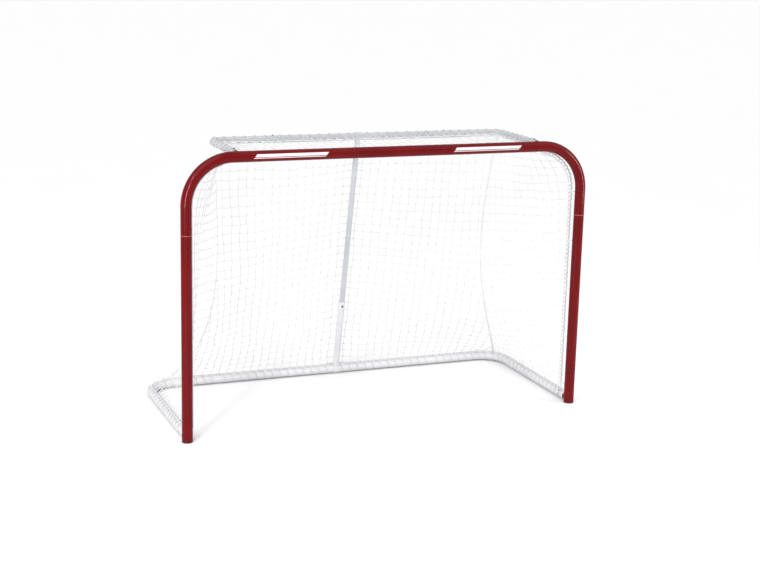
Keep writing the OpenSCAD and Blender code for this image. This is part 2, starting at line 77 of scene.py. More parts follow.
@dataclass
class Surface:
    """Vertices, faces and one UV pair per face corner, gathered before they become a mesh.

    Each entry of faces is an (n, k) array of vertex numbers, and the same entry of uvs is (n, k, 2).
    """

    verts: list[Points] = field(default_factory=list)
    faces: list[Points] = field(default_factory=list)
    uvs: list[Points] = field(default_factory=list)
    count: int = 0

    def add(self, verts: Points, faces: Points, uvs: Points) -> None:
        """Adds one block of vertices and the faces that use them.

        Args:
            verts: (n, 3) positions.
            faces: (m, k) vertex numbers, counted from the block's first vertex.
            uvs: (m, k, 2) texture coordinates.
        """
        self.verts.append(verts.reshape(-1, 3))
        self.faces.append(faces + self.count)
        self.uvs.append(uvs)
        self.count += len(verts.reshape(-1, 3))

    def add_faces(self, faces: Points, uvs: Points) -> None:
        """Adds faces that use vertices already gathered, counted from the very first one."""
        self.faces.append(faces)
        self.uvs.append(uvs)

    def mirrored(self) -> "Surface":
        """Returns the same surface on the other side of the plane x = 0, facing outwards."""
        flip = np.array([-1.0, 1.0, 1.0])
        return Surface([v * flip for v in self.verts], [f[:, ::-1] for f in self.faces],
                       [u[:, ::-1] for u in self.uvs], self.count)

    def build(self, name: str) -> bpy.types.Object:
        """Makes the mesh object.

        Args:
            name: the piece's name.

        Returns:
            The new object, at the origin, with smooth faces and a UV map.
        """
        mesh = bpy.data.meshes.new(name)
        co = np.concatenate(self.verts).astype(np.float32)
        loops = np.concatenate([f.ravel() for f in self.faces]).astype(np.int32)
        sizes = np.concatenate([np.full(len(f), f.shape[1]) for f in self.faces]).astype(np.int32)
        starts = (np.cumsum(sizes) - sizes).astype(np.int32)
        mesh.vertices.add(len(co))
        mesh.vertices.foreach_set("co", co.ravel())
        mesh.loops.add(len(loops))
        mesh.loops.foreach_set("vertex_index", loops)
        mesh.polygons.add(len(sizes))
        mesh.polygons.foreach_set("loop_start", starts)
        mesh.polygons.foreach_set("loop_total", sizes)
        mesh.polygons.foreach_set("use_smooth", np.ones(len(sizes), bool))
        layer = mesh.uv_layers.new(name="along")
        flat = np.concatenate([u.reshape(-1, 2) for u in self.uvs]).astype(np.float32)
        layer.data.foreach_set("uv", flat.ravel())
        mesh.update(calc_edges=True)
        mesh.validate()
        obj = bpy.data.objects.new(name, mesh)
        bpy.context.scene.collection.objects.link(obj)
        return obj


def unit(v: Points) -> Points:
    """Returns the vectors of the last axis scaled to length one."""
    return v / np.maximum(np.linalg.norm(v, axis=-1, keepdims=True), 1e-12)


def arc_length(path: Points) -> Points:
    """Returns the distance of each point of a path from its first point, measured along the path."""
    steps = np.linalg.norm(np.diff(path, axis=0), axis=1)
    return np.concatenate([[0.0], np.cumsum(steps)])


def resampled(path: Points, at: Points) -> Points:
    """Returns the points that lie at the given distances along a path."""
    s = arc_length(path)
    return np.stack([np.interp(at, s, path[:, k]) for k in range(3)], axis=1)


def side_vectors(tangent: Points) -> Points:
    """Returns for each tangent a unit vector across it, taken from the world axis it is least along."""
    axes = np.eye(3)[np.argmin(np.abs(tangent), axis=-1)]
    return unit(np.cross(tangent, axes))


def corner_uvs(u: Points, step: float, low: Points, high: Points) -> Points:
    """Returns the UV pairs of quads that go from u to u + step round a tube and from low to high along it."""
    u0, u1, v0, v1 = np.broadcast_arrays(u, u + step, low, high)
    corners = [np.stack(pair, -1) for pair in ((u0, v0), (u1, v0), (u1, v1), (u0, v1))]
    return np.stack(corners, axis=-2).reshape(-1, 4, 2)


def sweep(out: Surface, path: Points, radius: float | Points, sides: int, across: Points | None = None,
          closed: bool = False) -> None:
    """Adds a round tube along a path.

    Each path point carries a ring: point + radius * (cos a * n + sin a * b), where n and b are square
    to the path. The V of the UV map is the length along the path in metres, and U is the turn round it.

    Args:
        out: the surface that the tube joins.
        path: (n, 3) points.
        radius: one radius, or one for each point.
        sides: the number of sides.
        across: (n, 3) directions that each ring's first vertex points to. By default they are carried
            over from the world axis that the path is least along as a whole.
        closed: whether the last ring joins the first one.
    """
    if closed:
        tangent = unit(np.roll(path, -1, axis=0) - np.roll(path, 1, axis=0))
    else:
        tangent = unit(np.gradient(path, axis=0))
    if across is None:
        axis = np.eye(3)[np.argmin(np.abs(tangent).max(axis=0))]
        across = np.broadcast_to(axis, path.shape)
    normal = unit(across - tangent * np.sum(across * tangent, axis=1, keepdims=True))
    binormal = np.cross(tangent, normal)
    angle = np.arange(sides) * 2 * np.pi / sides
    r = np.broadcast_to(np.asarray(radius, float), (len(path),))[:, None, None]
    ring = np.cos(angle)[None, :, None] * normal[:, None] + np.sin(angle)[None, :, None] * binormal[:, None]
    verts = path[:, None] + r * ring
    rows = len(path)
    i = np.arange(rows if closed else rows - 1)[:, None]
    k = np.arange(sides)[None, :]
    nxt, turn = (i + 1) % rows, (k + 1) % sides
    quads = np.stack([i * sides + k, i * sides + turn, nxt * sides + turn, nxt * sides + k], axis=-1)
    s = arc_length(np.concatenate([path, path[:1]]) if closed else path)
    start = out.count
    out.add(verts, quads.reshape(-1, 4), corner_uvs(k / sides, 1 / sides, s[i], s[i + 1]))
    if not closed:
        caps = np.array([np.arange(sides)[::-1], (rows - 1) * sides + np.arange(sides)]) + start
        cap_uv = np.zeros((2, sides, 2))
        cap_uv[1, :, 1] = s[-1]
        out.add_faces(caps, cap_uv)


def bundle(out: Surface, paths: Points, radius: float, sides: int) -> None:
    """Adds many short tubes of the same number of points at once.

    Args:
        out: the surface that the tubes join.
        paths: (tubes, points, 3) positions.
        radius: the radius of every tube.
        sides: the number of sides of every tube.
    """
    tubes, rows, _ = paths.shape
    tangent = unit(np.gradient(paths, axis=1))
    normal = side_vectors(unit(paths[:, -1] - paths[:, 0]))[:, None]
    normal = unit(normal - tangent * np.sum(normal * tangent, axis=2, keepdims=True))
    binormal = np.cross(tangent, normal)
    angle = np.arange(sides) * 2 * np.pi / sides
    ring = (np.cos(angle)[:, None] * normal[:, :, None] + np.sin(angle)[:, None] * binormal[:, :, None])
    verts = paths[:, :, None] + radius * ring
    t = np.arange(tubes)[:, None, None] * rows * sides
    i = np.arange(rows - 1)[None, :, None] * sides
    k = np.arange(sides)[None, None, :]
    turn = (k + 1) % sides
    quads = np.stack([t + i + k, t + i + turn, t + i + sides + turn, t + i + sides + k], axis=-1)
    step = np.linalg.norm(np.diff(paths, axis=1), axis=2)
    s = np.concatenate([np.zeros((tubes, 1)), np.cumsum(step, axis=1)], axis=1)
    start = out.count
    uvs = corner_uvs(k / sides, 1 / sides, s[:, :-1, None], s[:, 1:, None])
    out.add(verts, quads.reshape(-1, 4), uvs)
    first = start + t[:, :, 0] + np.arange(sides)[::-1][None]
    last = start + t[:, :, 0] + (rows - 1) * sides + np.arange(sides)[None]
    out.add_faces(np.concatenate([first, last]), np.zeros((2 * tubes, sides, 2)))


def lumps(out: Surface, centres: Points, along: Points, across: Points, size: Sequence[float],
          turn: Points) -> None:
    """Adds a small knot at each centre: an ellipsoid whose radius waves like two crossed strands.

    The radius at longitude a and latitude b is 1 + 0.16 * sin(2 a + turn) * cos(b), scaled by size
    along the two strands and square to them. The poles are closed with triangles.

    Args:
        out: the surface that the knots join.
        centres: (n, 3) places.
        along: (n, 3) direction of the first strand.
        across: (n, 3) direction of the second strand.
        size: half sizes along the first strand, along the second, and square to both.
        turn: (n,) phase of the wave.
    """
    around, rings = 8, 3
    lon = np.arange(around) * 2 * np.pi / around
    lat = (np.arange(rings) + 1) * np.pi / (rings + 1) - np.pi / 2
    e1 = unit(along)
    e3 = unit(np.cross(along, across))
    e2 = np.cross(e3, e1)
    wave = 1 + 0.16 * np.sin(2 * lon[None, None] + turn[:, None, None]) * np.cos(lat)[None, :, None]
    x = size[0] * wave * np.cos(lat)[None, :, None] * np.cos(lon)
    y = size[1] * wave * np.cos(lat)[None, :, None] * np.sin(lon)
    z = np.broadcast_to(size[2] * np.sin(lat)[None, :, None], x.shape)
    body = (centres[:, None, None] + x[..., None] * e1[:, None, None] + y[..., None] * e2[:, None, None]
            + z[..., None] * e3[:, None, None]).reshape(len(centres), -1, 3)
    poles = centres[:, None] + size[2] * np.array([-1.0, 1.0])[None, :, None] * e3[:, None]
    verts = np.concatenate([body, poles], axis=1)
    block = around * rings + 2
    base = np.arange(len(centres))[:, None, None] * block
    r = np.arange(rings - 1)[None, :, None] * around
    k = np.arange(around)[None, None, :]
    turn_k = (k + 1) % around
    quads = np.stack([base + r + k, base + r + turn_k, base + r + around + turn_k, base + r + around + k], -1)
    start = out.count
    out.add(verts, quads.reshape(-1, 4), np.zeros((quads.size // 4, 4, 2)))
    k, turn_k, base = k[0], turn_k[0], base[:, 0] + start
    south = np.stack(np.broadcast_arrays(base + turn_k, base + k, base + block - 2), -1)
    top = (rings - 1) * around
    north = np.stack(np.broadcast_arrays(base + top + k, base + top + turn_k, base + block - 1), -1)
    tris = np.concatenate([south.reshape(-1, 3), north.reshape(-1, 3)])
    out.add_faces(tris, np.zeros((len(tris), 3, 2)))


def place(obj: bpy.types.Object, material: bpy.types.Material, slot: str, *replaced: str) -> None:
    """Gives a new piece its finish, its body and the frame nodes that it stands for.

    Args:
        obj: the new piece.
        material: its finish.
        slot: the record's material slot; not used.
        replaced: names of frame nodes that it replaces.
    """
    obj.data.materials.append(material)
    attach(obj, BODY)
    if replaced:
        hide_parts(*replaced)
    log.info("%s: %d faces", obj.name, len(obj.data.polygons))


# ---------------------------------------------------------------- node helpers

class Nodes:
    """A short way to add and join shader nodes in one tree."""

    def __init__(self, tree: bpy.types.NodeTree) -> None:
        """Keeps the tree."""
        self.tree = tree

    def add(self, kind: str, inputs: dict[str | int, object] | None = None,
            **settings: object) -> bpy.types.Node:
        """Adds a node.

        Args:
            kind: the node's type name.
            inputs: values or sockets for its inputs, by name or number.
            settings: its properties.

        Returns:
            The new node.
        """
        node = self.tree.nodes.new(kind)
        for key, value in settings.items():
            setattr(node, key, value)
        for key, value in (inputs or {}).items():
            self.feed(node.inputs[key], value)
        return node

    def feed(self, socket: bpy.types.NodeSocket, value: object) -> None:
        """Links a socket to an input, or sets the input's value."""
        if isinstance(value, bpy.types.NodeSocket):
            self.tree.links.new(value, socket)
        else:
            socket.default_value = value

    def math(self, operation: str, a: object, b: object = 0.0, c: object = 0.0) -> bpy.types.NodeSocket:
        """Returns the result of a Math node."""
        node = self.add("ShaderNodeMath", {0: a, 1: b}, operation=operation)
        if operation in ("MULTIPLY_ADD", "SMOOTH_MIN", "COMPARE"):
            self.feed(node.inputs[2], c)
        return node.outputs[0]

    def ramp(self, value: object, low: float, high: float, out_low: float = 0.0,
             out_high: float = 1.0) -> bpy.types.NodeSocket:
        """Returns value mapped smoothly from low..high to out_low..out_high and held at the ends."""
        node = self.add("ShaderNodeMapRange", {0: value, 1: low, 2: high, 3: out_low, 4: out_high},
                        interpolation_type="SMOOTHSTEP")
        return node.outputs[0]

    def mix(self, factor: object, a: object, b: object) -> bpy.types.NodeSocket:
        """Returns colour a changed to colour b by factor."""
        node = self.add("ShaderNodeMix", data_type="RGBA")
        self.feed(node.inputs[0], factor)
        self.feed(node.inputs[6], a)
        self.feed(node.inputs[7], b)
        return node.outputs[2]

    def noise(self, vector: object, scale: float, detail: float = 3.0,
              roughness: float = 0.55) -> bpy.types.NodeSocket:
        """Returns the value of a noise texture."""
        node = self.add("ShaderNodeTexNoise",
                        {"Vector": vector, "Scale": scale, "Detail": detail, "Roughness": roughness})
        return node.outputs[0]


def rgba(colour: Colour) -> tuple[float, float, float, float]:
    """Returns a colour with full alpha."""
    return (*colour, 1.0)


Group = tuple[bpy.types.NodeTree, Nodes, bpy.types.Node, bpy.types.Node]


def new_group(name: str, inputs: dict[str, float], outputs: Sequence[str]) -> Group:
    """Makes an empty shader node group with named value sockets.

    Args:
        name: the group's name.
        inputs: names and default values.
        outputs: names of the values that it puts out.

    Returns:
        The tree, its helper, its input node and its output node.
    """
    tree = bpy.data.node_groups.new(name, "ShaderNodeTree")
    for key, value in inputs.items():
        socket = tree.interface.new_socket(key, in_out="INPUT", socket_type="NodeSocketFloat")
        socket.default_value = value
    for key in outputs:
        tree.interface.new_socket(key, in_out="OUTPUT", socket_type="NodeSocketFloat")
    nodes = Nodes(tree)
    return tree, nodes, nodes.add("NodeGroupInput"), nodes.add("NodeGroupOutput")


class Effects:
    """The shared surface effects, each one a node group that is made once."""

    def __init__(self) -> None:
        """Makes the groups."""
        self.coating = self._coating()
        self.scuffs = self._scuffs()
        self.dust = self._dust()
        self.braid = self._braid()

    @staticmethod
    def _coating() -> bpy.types.NodeTree:
        """Powder coat: a fine orange peel for the bump and a slow drift of its tone."""
        tree, n, _, out = new_group("powder_coat", {}, ["Peel", "Tone"])
        pos = n.add("ShaderNodeTexCoord").outputs["Object"]
        peel = n.noise(pos, 420.0, 2.0, 0.5)
        ripple = n.noise(pos, 60.0, 2.0, 0.5)
        both = n.math("ADD", n.math("MULTIPLY", peel, 0.6), n.math("MULTIPLY", ripple, 0.4))
        n.feed(out.inputs["Peel"], both)
        n.feed(out.inputs["Tone"], n.ramp(n.noise(pos, 5.0, 3.0), 0.35, 0.65))
        return tree

    @staticmethod
    def _scuffs() -> bpy.types.NodeTree:
        """Scuffs: sparse patches of short scratches, denser with Amount, from stretched noise."""
        tree, n, source, out = new_group("scuffs", {"Amount": 0.5, "Scale": 1.0}, ["Mask"])
        pos = n.add("ShaderNodeTexCoord").outputs["Object"]
        scaled = n.add("ShaderNodeVectorMath", {0: pos}, operation="SCALE")
        n.feed(scaled.inputs["Scale"], source.outputs["Scale"])
        stretched = n.add("ShaderNodeMapping", {"Vector": scaled.outputs[0], "Rotation": (0.4, 0.7, 0.3),
                                                "Scale": (1.0, 1.0, 7.0)}).outputs[0]
        streaks = n.ramp(n.noise(stretched, 90.0, 4.0, 0.7), 0.58, 0.66)
        patches = n.noise(scaled.outputs[0], 9.0, 3.0)
        edge = n.math("SUBTRACT", 0.78, n.math("MULTIPLY", source.outputs["Amount"], 0.3))
        near = n.math("SUBTRACT", patches, edge)
        n.feed(out.inputs["Mask"], n.math("MULTIPLY", streaks, n.ramp(near, 0.0, 0.12)))
        return tree

    @staticmethod
    def _dust() -> bpy.types.NodeTree:
        """Dust and floor grime: strongest at the floor, fading over Height metres, broken up by noise."""
        tree, n, source, out = new_group("floor_grime", {"Height": 0.1, "Amount": 0.5}, ["Mask"])
        pos = n.add("ShaderNodeTexCoord").outputs["Object"]
        z = n.add("ShaderNodeSeparateXYZ", {0: pos}).outputs[2]
        low = n.math("SUBTRACT", 1.0, n.math("DIVIDE", z, source.outputs["Height"]))
        blotches = n.ramp(n.noise(pos, 35.0, 5.0, 0.65), 0.3, 0.75)
        mask = n.math("MULTIPLY", n.ramp(low, 0.0, 1.0), blotches)
        n.feed(out.inputs["Mask"], n.math("MULTIPLY", mask, source.outputs["Amount"]))
        return tree

    @staticmethod
    def _braid() -> bpy.types.NodeTree:
        """Braided cord: two sets of slanting strands from the UV map, whose higher one shows.

        With U the turn round the cord and V the length in metres, each set is a sine of
        (Strands * U + or - Pitch * V), and the group puts out the larger of the two and a painted shade for
        the valleys between them.
        """
        tree, n, source, out = new_group("braid", {"Strands": 4.0, "Pitch": 220.0}, ["Height", "ValleyShade"])
        uv = n.add("ShaderNodeSeparateXYZ", {0: n.add("ShaderNodeUVMap", uv_map="along").outputs[0]})
        turn = n.math("MULTIPLY", uv.outputs[0], source.outputs["Strands"])
        run = n.math("MULTIPLY", uv.outputs[1], source.outputs["Pitch"])
        one = n.math("SINE", n.math("MULTIPLY", n.math("ADD", turn, run), 2 * math.pi))
        two = n.math("SINE", n.math("MULTIPLY", n.math("SUBTRACT", turn, run), 2 * math.pi))
        high = n.math("MAXIMUM", one, two)
        n.feed(out.inputs["Height"], high)
        n.feed(out.inputs["ValleyShade"], n.ramp(high, 0.3, -0.6))
        return tree


class Finish:
    """Base of the finishes: starts a material and joins the last nodes."""

    @staticmethod
    def start(name: str) -> tuple[bpy.types.Material, Nodes, bpy.types.Node]:
        """Returns a new material, its helper and its Principled node."""
        material = bpy.data.materials.new(name)
        material.use_nodes = True
        nodes = Nodes(material.node_tree)
        return material, nodes, material.node_tree.nodes["Principled BSDF"]

    @staticmethod
    def group(nodes: Nodes, tree: bpy.types.NodeTree, **values: object) -> bpy.types.Node:
        """Adds a node group with its values."""
        node = nodes.add("ShaderNodeGroup", node_tree=tree)
        for key, value in values.items():
            nodes.feed(node.inputs[key], value)
        return node

    @staticmethod
    def bump(nodes: Nodes, shader: bpy.types.Node, height: object, strength: float, distance: float) -> None:
        """Feeds a bump to the shader's normal."""
        node = nodes.add("ShaderNodeBump", {"Height": height, "Strength": strength, "Distance": distance})
        nodes.feed(shader.inputs["Normal"], node.outputs[0])


@dataclass(frozen=True)
class Paint(Finish):
    """Powder-coated steel: two tones, fine orange peel, scuffs to a second colour, and floor grime."""

    name: str
    tone: Colour
    other_tone: Colour
    scuff: Colour
    grime: Colour
    roughness: float
    specular: float
    coat: float
    scuff_amount: float
    grime_height: float
    grime_amount: float

    def material(self, fx: Effects) -> bpy.types.Material:
        """Returns the material."""
        material, n, shader = self.start(self.name)
        coating = self.group(n, fx.coating)
        scuffs = self.group(n, fx.scuffs, Amount=self.scuff_amount)
        grime = self.group(n, fx.dust, Height=self.grime_height, Amount=self.grime_amount)
        colour = n.mix(coating.outputs["Tone"], rgba(self.tone), rgba(self.other_tone))
        colour = n.mix(n.math("MULTIPLY", scuffs.outputs["Mask"], 0.55), colour, rgba(self.scuff))
        colour = n.mix(grime.outputs["Mask"], colour, rgba(self.grime))
        n.feed(shader.inputs["Base Color"], colour)
        worn = n.math("MAXIMUM", scuffs.outputs["Mask"], grime.outputs["Mask"])
        n.feed(shader.inputs["Roughness"], n.math("MULTIPLY_ADD", worn, 0.35, self.roughness))
        n.feed(shader.inputs["Coat Weight"], n.math("MULTIPLY_ADD", worn, -self.coat, self.coat))
        shader.inputs["Coat Roughness"].default_value = 0.06
        shader.inputs["Specular IOR Level"].default_value = self.specular
        self.bump(n, shader, coating.outputs["Peel"], 0.12, 0.0006)
        return material


@dataclass(frozen=True)
class Plated(Finish):
    """Zinc-plated or blackened steel: mottled crystals and small dark stains."""

    name: str
    tone: Colour
    stain: Colour
    roughness: float

    def material(self, fx: Effects) -> bpy.types.Material:
        """Returns the material."""
        material, n, shader = self.start(self.name)
        pos = n.add("ShaderNodeTexCoord").outputs["Object"]
        mottle = n.noise(pos, 300.0, 4.0, 0.6)
        stains = n.ramp(n.noise(pos, 90.0, 4.0, 0.6), 0.55, 0.7)
        scuffs = self.group(n, fx.scuffs, Amount=0.9, Scale=3.0)
        colour = n.mix(n.math("MULTIPLY", stains, 0.6), rgba(self.tone), rgba(self.stain))
        n.feed(shader.inputs["Base Color"], colour)
        shader.inputs["Metallic"].default_value = 0.9
        rough = n.math("MULTIPLY_ADD", mottle, 0.25, self.roughness)
        n.feed(shader.inputs["Roughness"], n.math("MULTIPLY_ADD", scuffs.outputs["Mask"], 0.15, rough))
        self.bump(n, shader, mottle, 0.15, 0.0003)
        return material


@dataclass(frozen=True)
class Moulded(Finish):
    """Moulded black plastic: a fine spark-eroded grain, dusty near the floor."""

    name: str
    tone: Colour

    def material(self, fx: Effects) -> bpy.types.Material:
        """Returns the material."""
        material, n, shader = self.start(self.name)
        pos = n.add("ShaderNodeTexCoord").outputs["Object"]
        grain = n.noise(pos, 900.0, 2.0)
        grime = self.group(n, fx.dust, Height=0.02, Amount=0.7)
        colour = n.mix(grime.outputs["Mask"], rgba(self.tone), rgba((0.2, 0.19, 0.18)))
        n.feed(shader.inputs["Base Color"], colour)
        n.feed(shader.inputs["Roughness"], n.math("MULTIPLY_ADD", grain, 0.2, 0.45))
        self.bump(n, shader, grain, 0.25, 0.0004)
        return material


@dataclass(frozen=True)
class Twine(Finish):
    """Braided nylon cord: raised strands, painted shade in the valleys, and slow changes of whiteness."""

    name: str
    tone: Colour
    shade: Colour
    strands: float
    pitch: float

    def material(self, fx: Effects) -> bpy.types.Material:
        """Returns the material."""
        material, n, shader = self.start(self.name)
        braid = self.group(n, fx.braid, Strands=self.strands, Pitch=self.pitch)
        pos = n.add("ShaderNodeTexCoord").outputs["Object"]
        drift = n.ramp(n.noise(pos, 6.0, 3.0), 0.3, 0.7, 0.0, 0.35)
        # painted shade: the braid's valleys are darkened towards the shade colour, together with a slow
        # random drift of whiteness
        shaded = n.math("MAXIMUM", n.math("MULTIPLY", braid.outputs["ValleyShade"], 0.8), drift)
        n.feed(shader.inputs["Base Color"], n.mix(shaded, rgba(self.tone), rgba(self.shade)))
        fuzz = n.noise(pos, 1500.0, 2.0)
        n.feed(shader.inputs["Roughness"], n.math("MULTIPLY_ADD", fuzz, 0.2, 0.6))
        shader.inputs["Sheen Weight"].default_value = 0.25
        shader.inputs["Sheen Roughness"].default_value = 0.4
        self.bump(n, shader, n.math("MULTIPLY_ADD", fuzz, 0.3, braid.outputs["Height"]), 0.5, 0.0005)
        return material


@dataclass(frozen=True)
class StripedLabel(Finish):
    """Vinyl label: a broad stripe over a thin one, with slanting ends, on a dark red ground.

    The pattern reads the distance along the crossbar and the height round its front.
    """

    name: str
    centre_x: float
    length: float
    axis_y: float
    axis_z: float
    radius: float
    ground: Colour
    ink: Colour

    def stripe(self, n: Nodes, height: object, along: object, low: float, high: float,
               reach: float) -> bpy.types.NodeSocket:
        """Returns the mask of one stripe from height low to high, that ends at reach either way."""
        soft = 0.0004
        body = n.math("MULTIPLY", n.ramp(height, low, low + soft), n.ramp(height, high, high - soft))
        return n.math("MULTIPLY", body, n.ramp(n.math("ABSOLUTE", along), reach, reach - soft))

    def material(self, fx: Effects) -> bpy.types.Material:
        """Returns the material."""
        material, n, shader = self.start(self.name)
        pos = n.add("ShaderNodeSeparateXYZ", {0: n.add("ShaderNodeTexCoord").outputs["Object"]})
        up = n.math("SUBTRACT", pos.outputs[2], self.axis_z)
        front = n.math("SUBTRACT", self.axis_y, pos.outputs[1])
        height = n.math("MULTIPLY", n.math("ARCTAN2", up, front), self.radius)
        along = n.math("SUBTRACT", pos.outputs[0], self.centre_x)
        slanted = n.math("SUBTRACT", along, n.math("MULTIPLY", height, 0.8))
        broad = self.stripe(n, height, slanted, -0.0015, 0.0115, self.length * 0.46)
        thin = self.stripe(n, height, slanted, -0.0075, -0.0040, self.length * 0.46)
        scuffs = self.group(n, fx.scuffs, Amount=0.6, Scale=2.0)
        worn = n.math("MULTIPLY_ADD", scuffs.outputs["Mask"], -0.5, 1.0)
        ink = n.math("MULTIPLY", n.math("MAXIMUM", broad, thin), worn)
        n.feed(shader.inputs["Base Color"], n.mix(ink, rgba(self.ground), rgba(self.ink)))
        n.feed(shader.inputs["Roughness"], n.math("MULTIPLY_ADD", scuffs.outputs["Mask"], 0.3, 0.32))
        shader.inputs["Specular IOR Level"].default_value = 0.08
        shader.inputs["Coat Weight"].default_value = 0.2
        shader.inputs["Coat Roughness"].default_value = 0.1
        return material


# ---------------------------------------------------------------- the goal's layout

class Side(Enum):
    """Left and right as seen from the front."""

    LEFT = -1
    RIGHT = 1


@dataclass(frozen=True)
class Layout:
    """The places that every sub-assembly shares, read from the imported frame."""

    goal_y: float
    post_x: float
    post_r: float
    bar_z: float
    bend_r: float
    base_y: float
    base_z: float
    base_r: float
    base_corner_r: float
    base_start: float
    shelf_x: float
    shelf_y: float
    shelf_z: float
    shelf_r: float
    shelf_corner_r: float
    shelf_start: float
    foot_x: float
    top_x: float
    cord_d: float

    @staticmethod
    def read() -> "Layout":
        """Returns the layout measured from the frame's nodes."""
        post_low, post_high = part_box("right_post")
        bar_low, bar_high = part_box("crossbar")
        rail_low, rail_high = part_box("rear_base_rail")
        side_low, side_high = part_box("right_base_rail")
        shelf_low, shelf_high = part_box("rear_shelf_rail")
        shelf_side_low, shelf_side_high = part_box("right_shelf_rail")
        foot_low, foot_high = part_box("support_foot_clamp")
        top_low, top_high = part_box("support_top_clamp")
        lace_low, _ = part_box("base_lacing")
        post_r = (post_high.x - post_low.x) / 2
        base_r = (rail_high.z - rail_low.z) / 2
        shelf_r = (shelf_high.z - shelf_low.z) / 2
        return Layout(
            goal_y=(post_low.y + post_high.y) / 2, post_x=(post_low.x + post_high.x) / 2, post_r=post_r,
            bar_z=bar_high.z - post_r, bend_r=0.205,
            base_y=rail_high.y - base_r, base_z=rail_high.z - base_r, base_r=base_r, base_corner_r=0.130,
            base_start=side_low.y,
            shelf_x=shelf_side_high.x - shelf_r, shelf_y=shelf_high.y - shelf_r,
            shelf_z=shelf_high.z - shelf_r,
            shelf_r=shelf_r, shelf_corner_r=0.038, shelf_start=shelf_side_low.y,
            foot_x=(foot_low.x + foot_high.x) / 2, top_x=(top_low.x + top_high.x) / 2,
            cord_d=rail_low.z - lace_low.z)

    @property
    def straight_x(self) -> float:
        """Half the length of the crossbar's straight part."""
        return self.post_x - self.bend_r


@dataclass(frozen=True)
class RailLoop:
    """The centre line of a U of rails: up the left side, round two corners, and down the right side."""

    half_width: float
    rear_y: float
    start_y: float
    z: float
    corner_r: float

    def path(self, step: float = 0.004) -> Points:
        """Returns points along the centre line.

        The line is two straight sides, two quarter circles and the straight rear.

        Args:
            step: the distance between points, about.
        """
        side = self.rear_y - self.corner_r - self.start_y
        quarter = np.linspace(0, np.pi / 2, max(4, int(self.corner_r * np.pi / 2 / step)))
        inner = self.half_width - self.corner_r
        left_y = np.linspace(self.start_y, self.start_y + side, int(side / step))[:-1]
        left = np.stack([np.full_like(left_y, -self.half_width), left_y], 1)
        bend = np.stack([-inner - self.corner_r * np.cos(quarter),
                         self.rear_y - self.corner_r + self.corner_r * np.sin(quarter)], 1)
        rear_x = np.linspace(-inner, inner, int(2 * inner / step))[1:-1]
        rear = np.stack([rear_x, np.full_like(rear_x, self.rear_y)], 1)
        right = (np.concatenate([left, bend]) * [-1, 1])[::-1]
        flat = np.concatenate([left, bend, rear, right])
        return np.column_stack([flat, np.full(len(flat), self.z)])

    def corner_mid(self) -> float:
        """Returns the distance along the centre line to the middle of the first corner."""
        return (self.rear_y - self.corner_r - self.start_y) + self.corner_r * np.pi / 4


# ---------------------------------------------------------------- netting

@dataclass(frozen=True)
class LaceBar:
    """The side lace bar's line: straight up beside the post, then round inside the bend."""

    x: float
    y: float
    low_z: float
    bend_x: float
    bend_z: float
    radius: float
    turn: float
    peg_margin: float = 0.015
    peg_count: int = 5

    def path(self, inset: float = 0.0, back: float = 0.0, step: float = 0.004) -> Points:
        """Returns points along a line beside the right-hand bar.

        The line is straight up to the bend, then bend centre + (radius - inset) * (cos a, sin a).

        Args:
            inset: how far towards the goal's middle.
            back: how far to the rear.
            step: the distance between points, about.
        """
        r = self.radius - inset
        z = np.linspace(self.low_z, self.bend_z, int((self.bend_z - self.low_z) / step))[:-1]
        a = np.linspace(0, self.turn, int(r * self.turn / step))
        x = np.concatenate([np.full_like(z, self.bend_x + r), self.bend_x + r * np.cos(a)])
        height = np.concatenate([z, self.bend_z + r * np.sin(a)])
        return np.column_stack([x, np.full_like(x, self.y + back), height])

    def pegs(self) -> Points:
        """Returns the heights of the pegs that hold the bar."""
        return np.linspace(self.low_z + self.peg_margin, self.bend_z - self.peg_margin, self.peg_count)


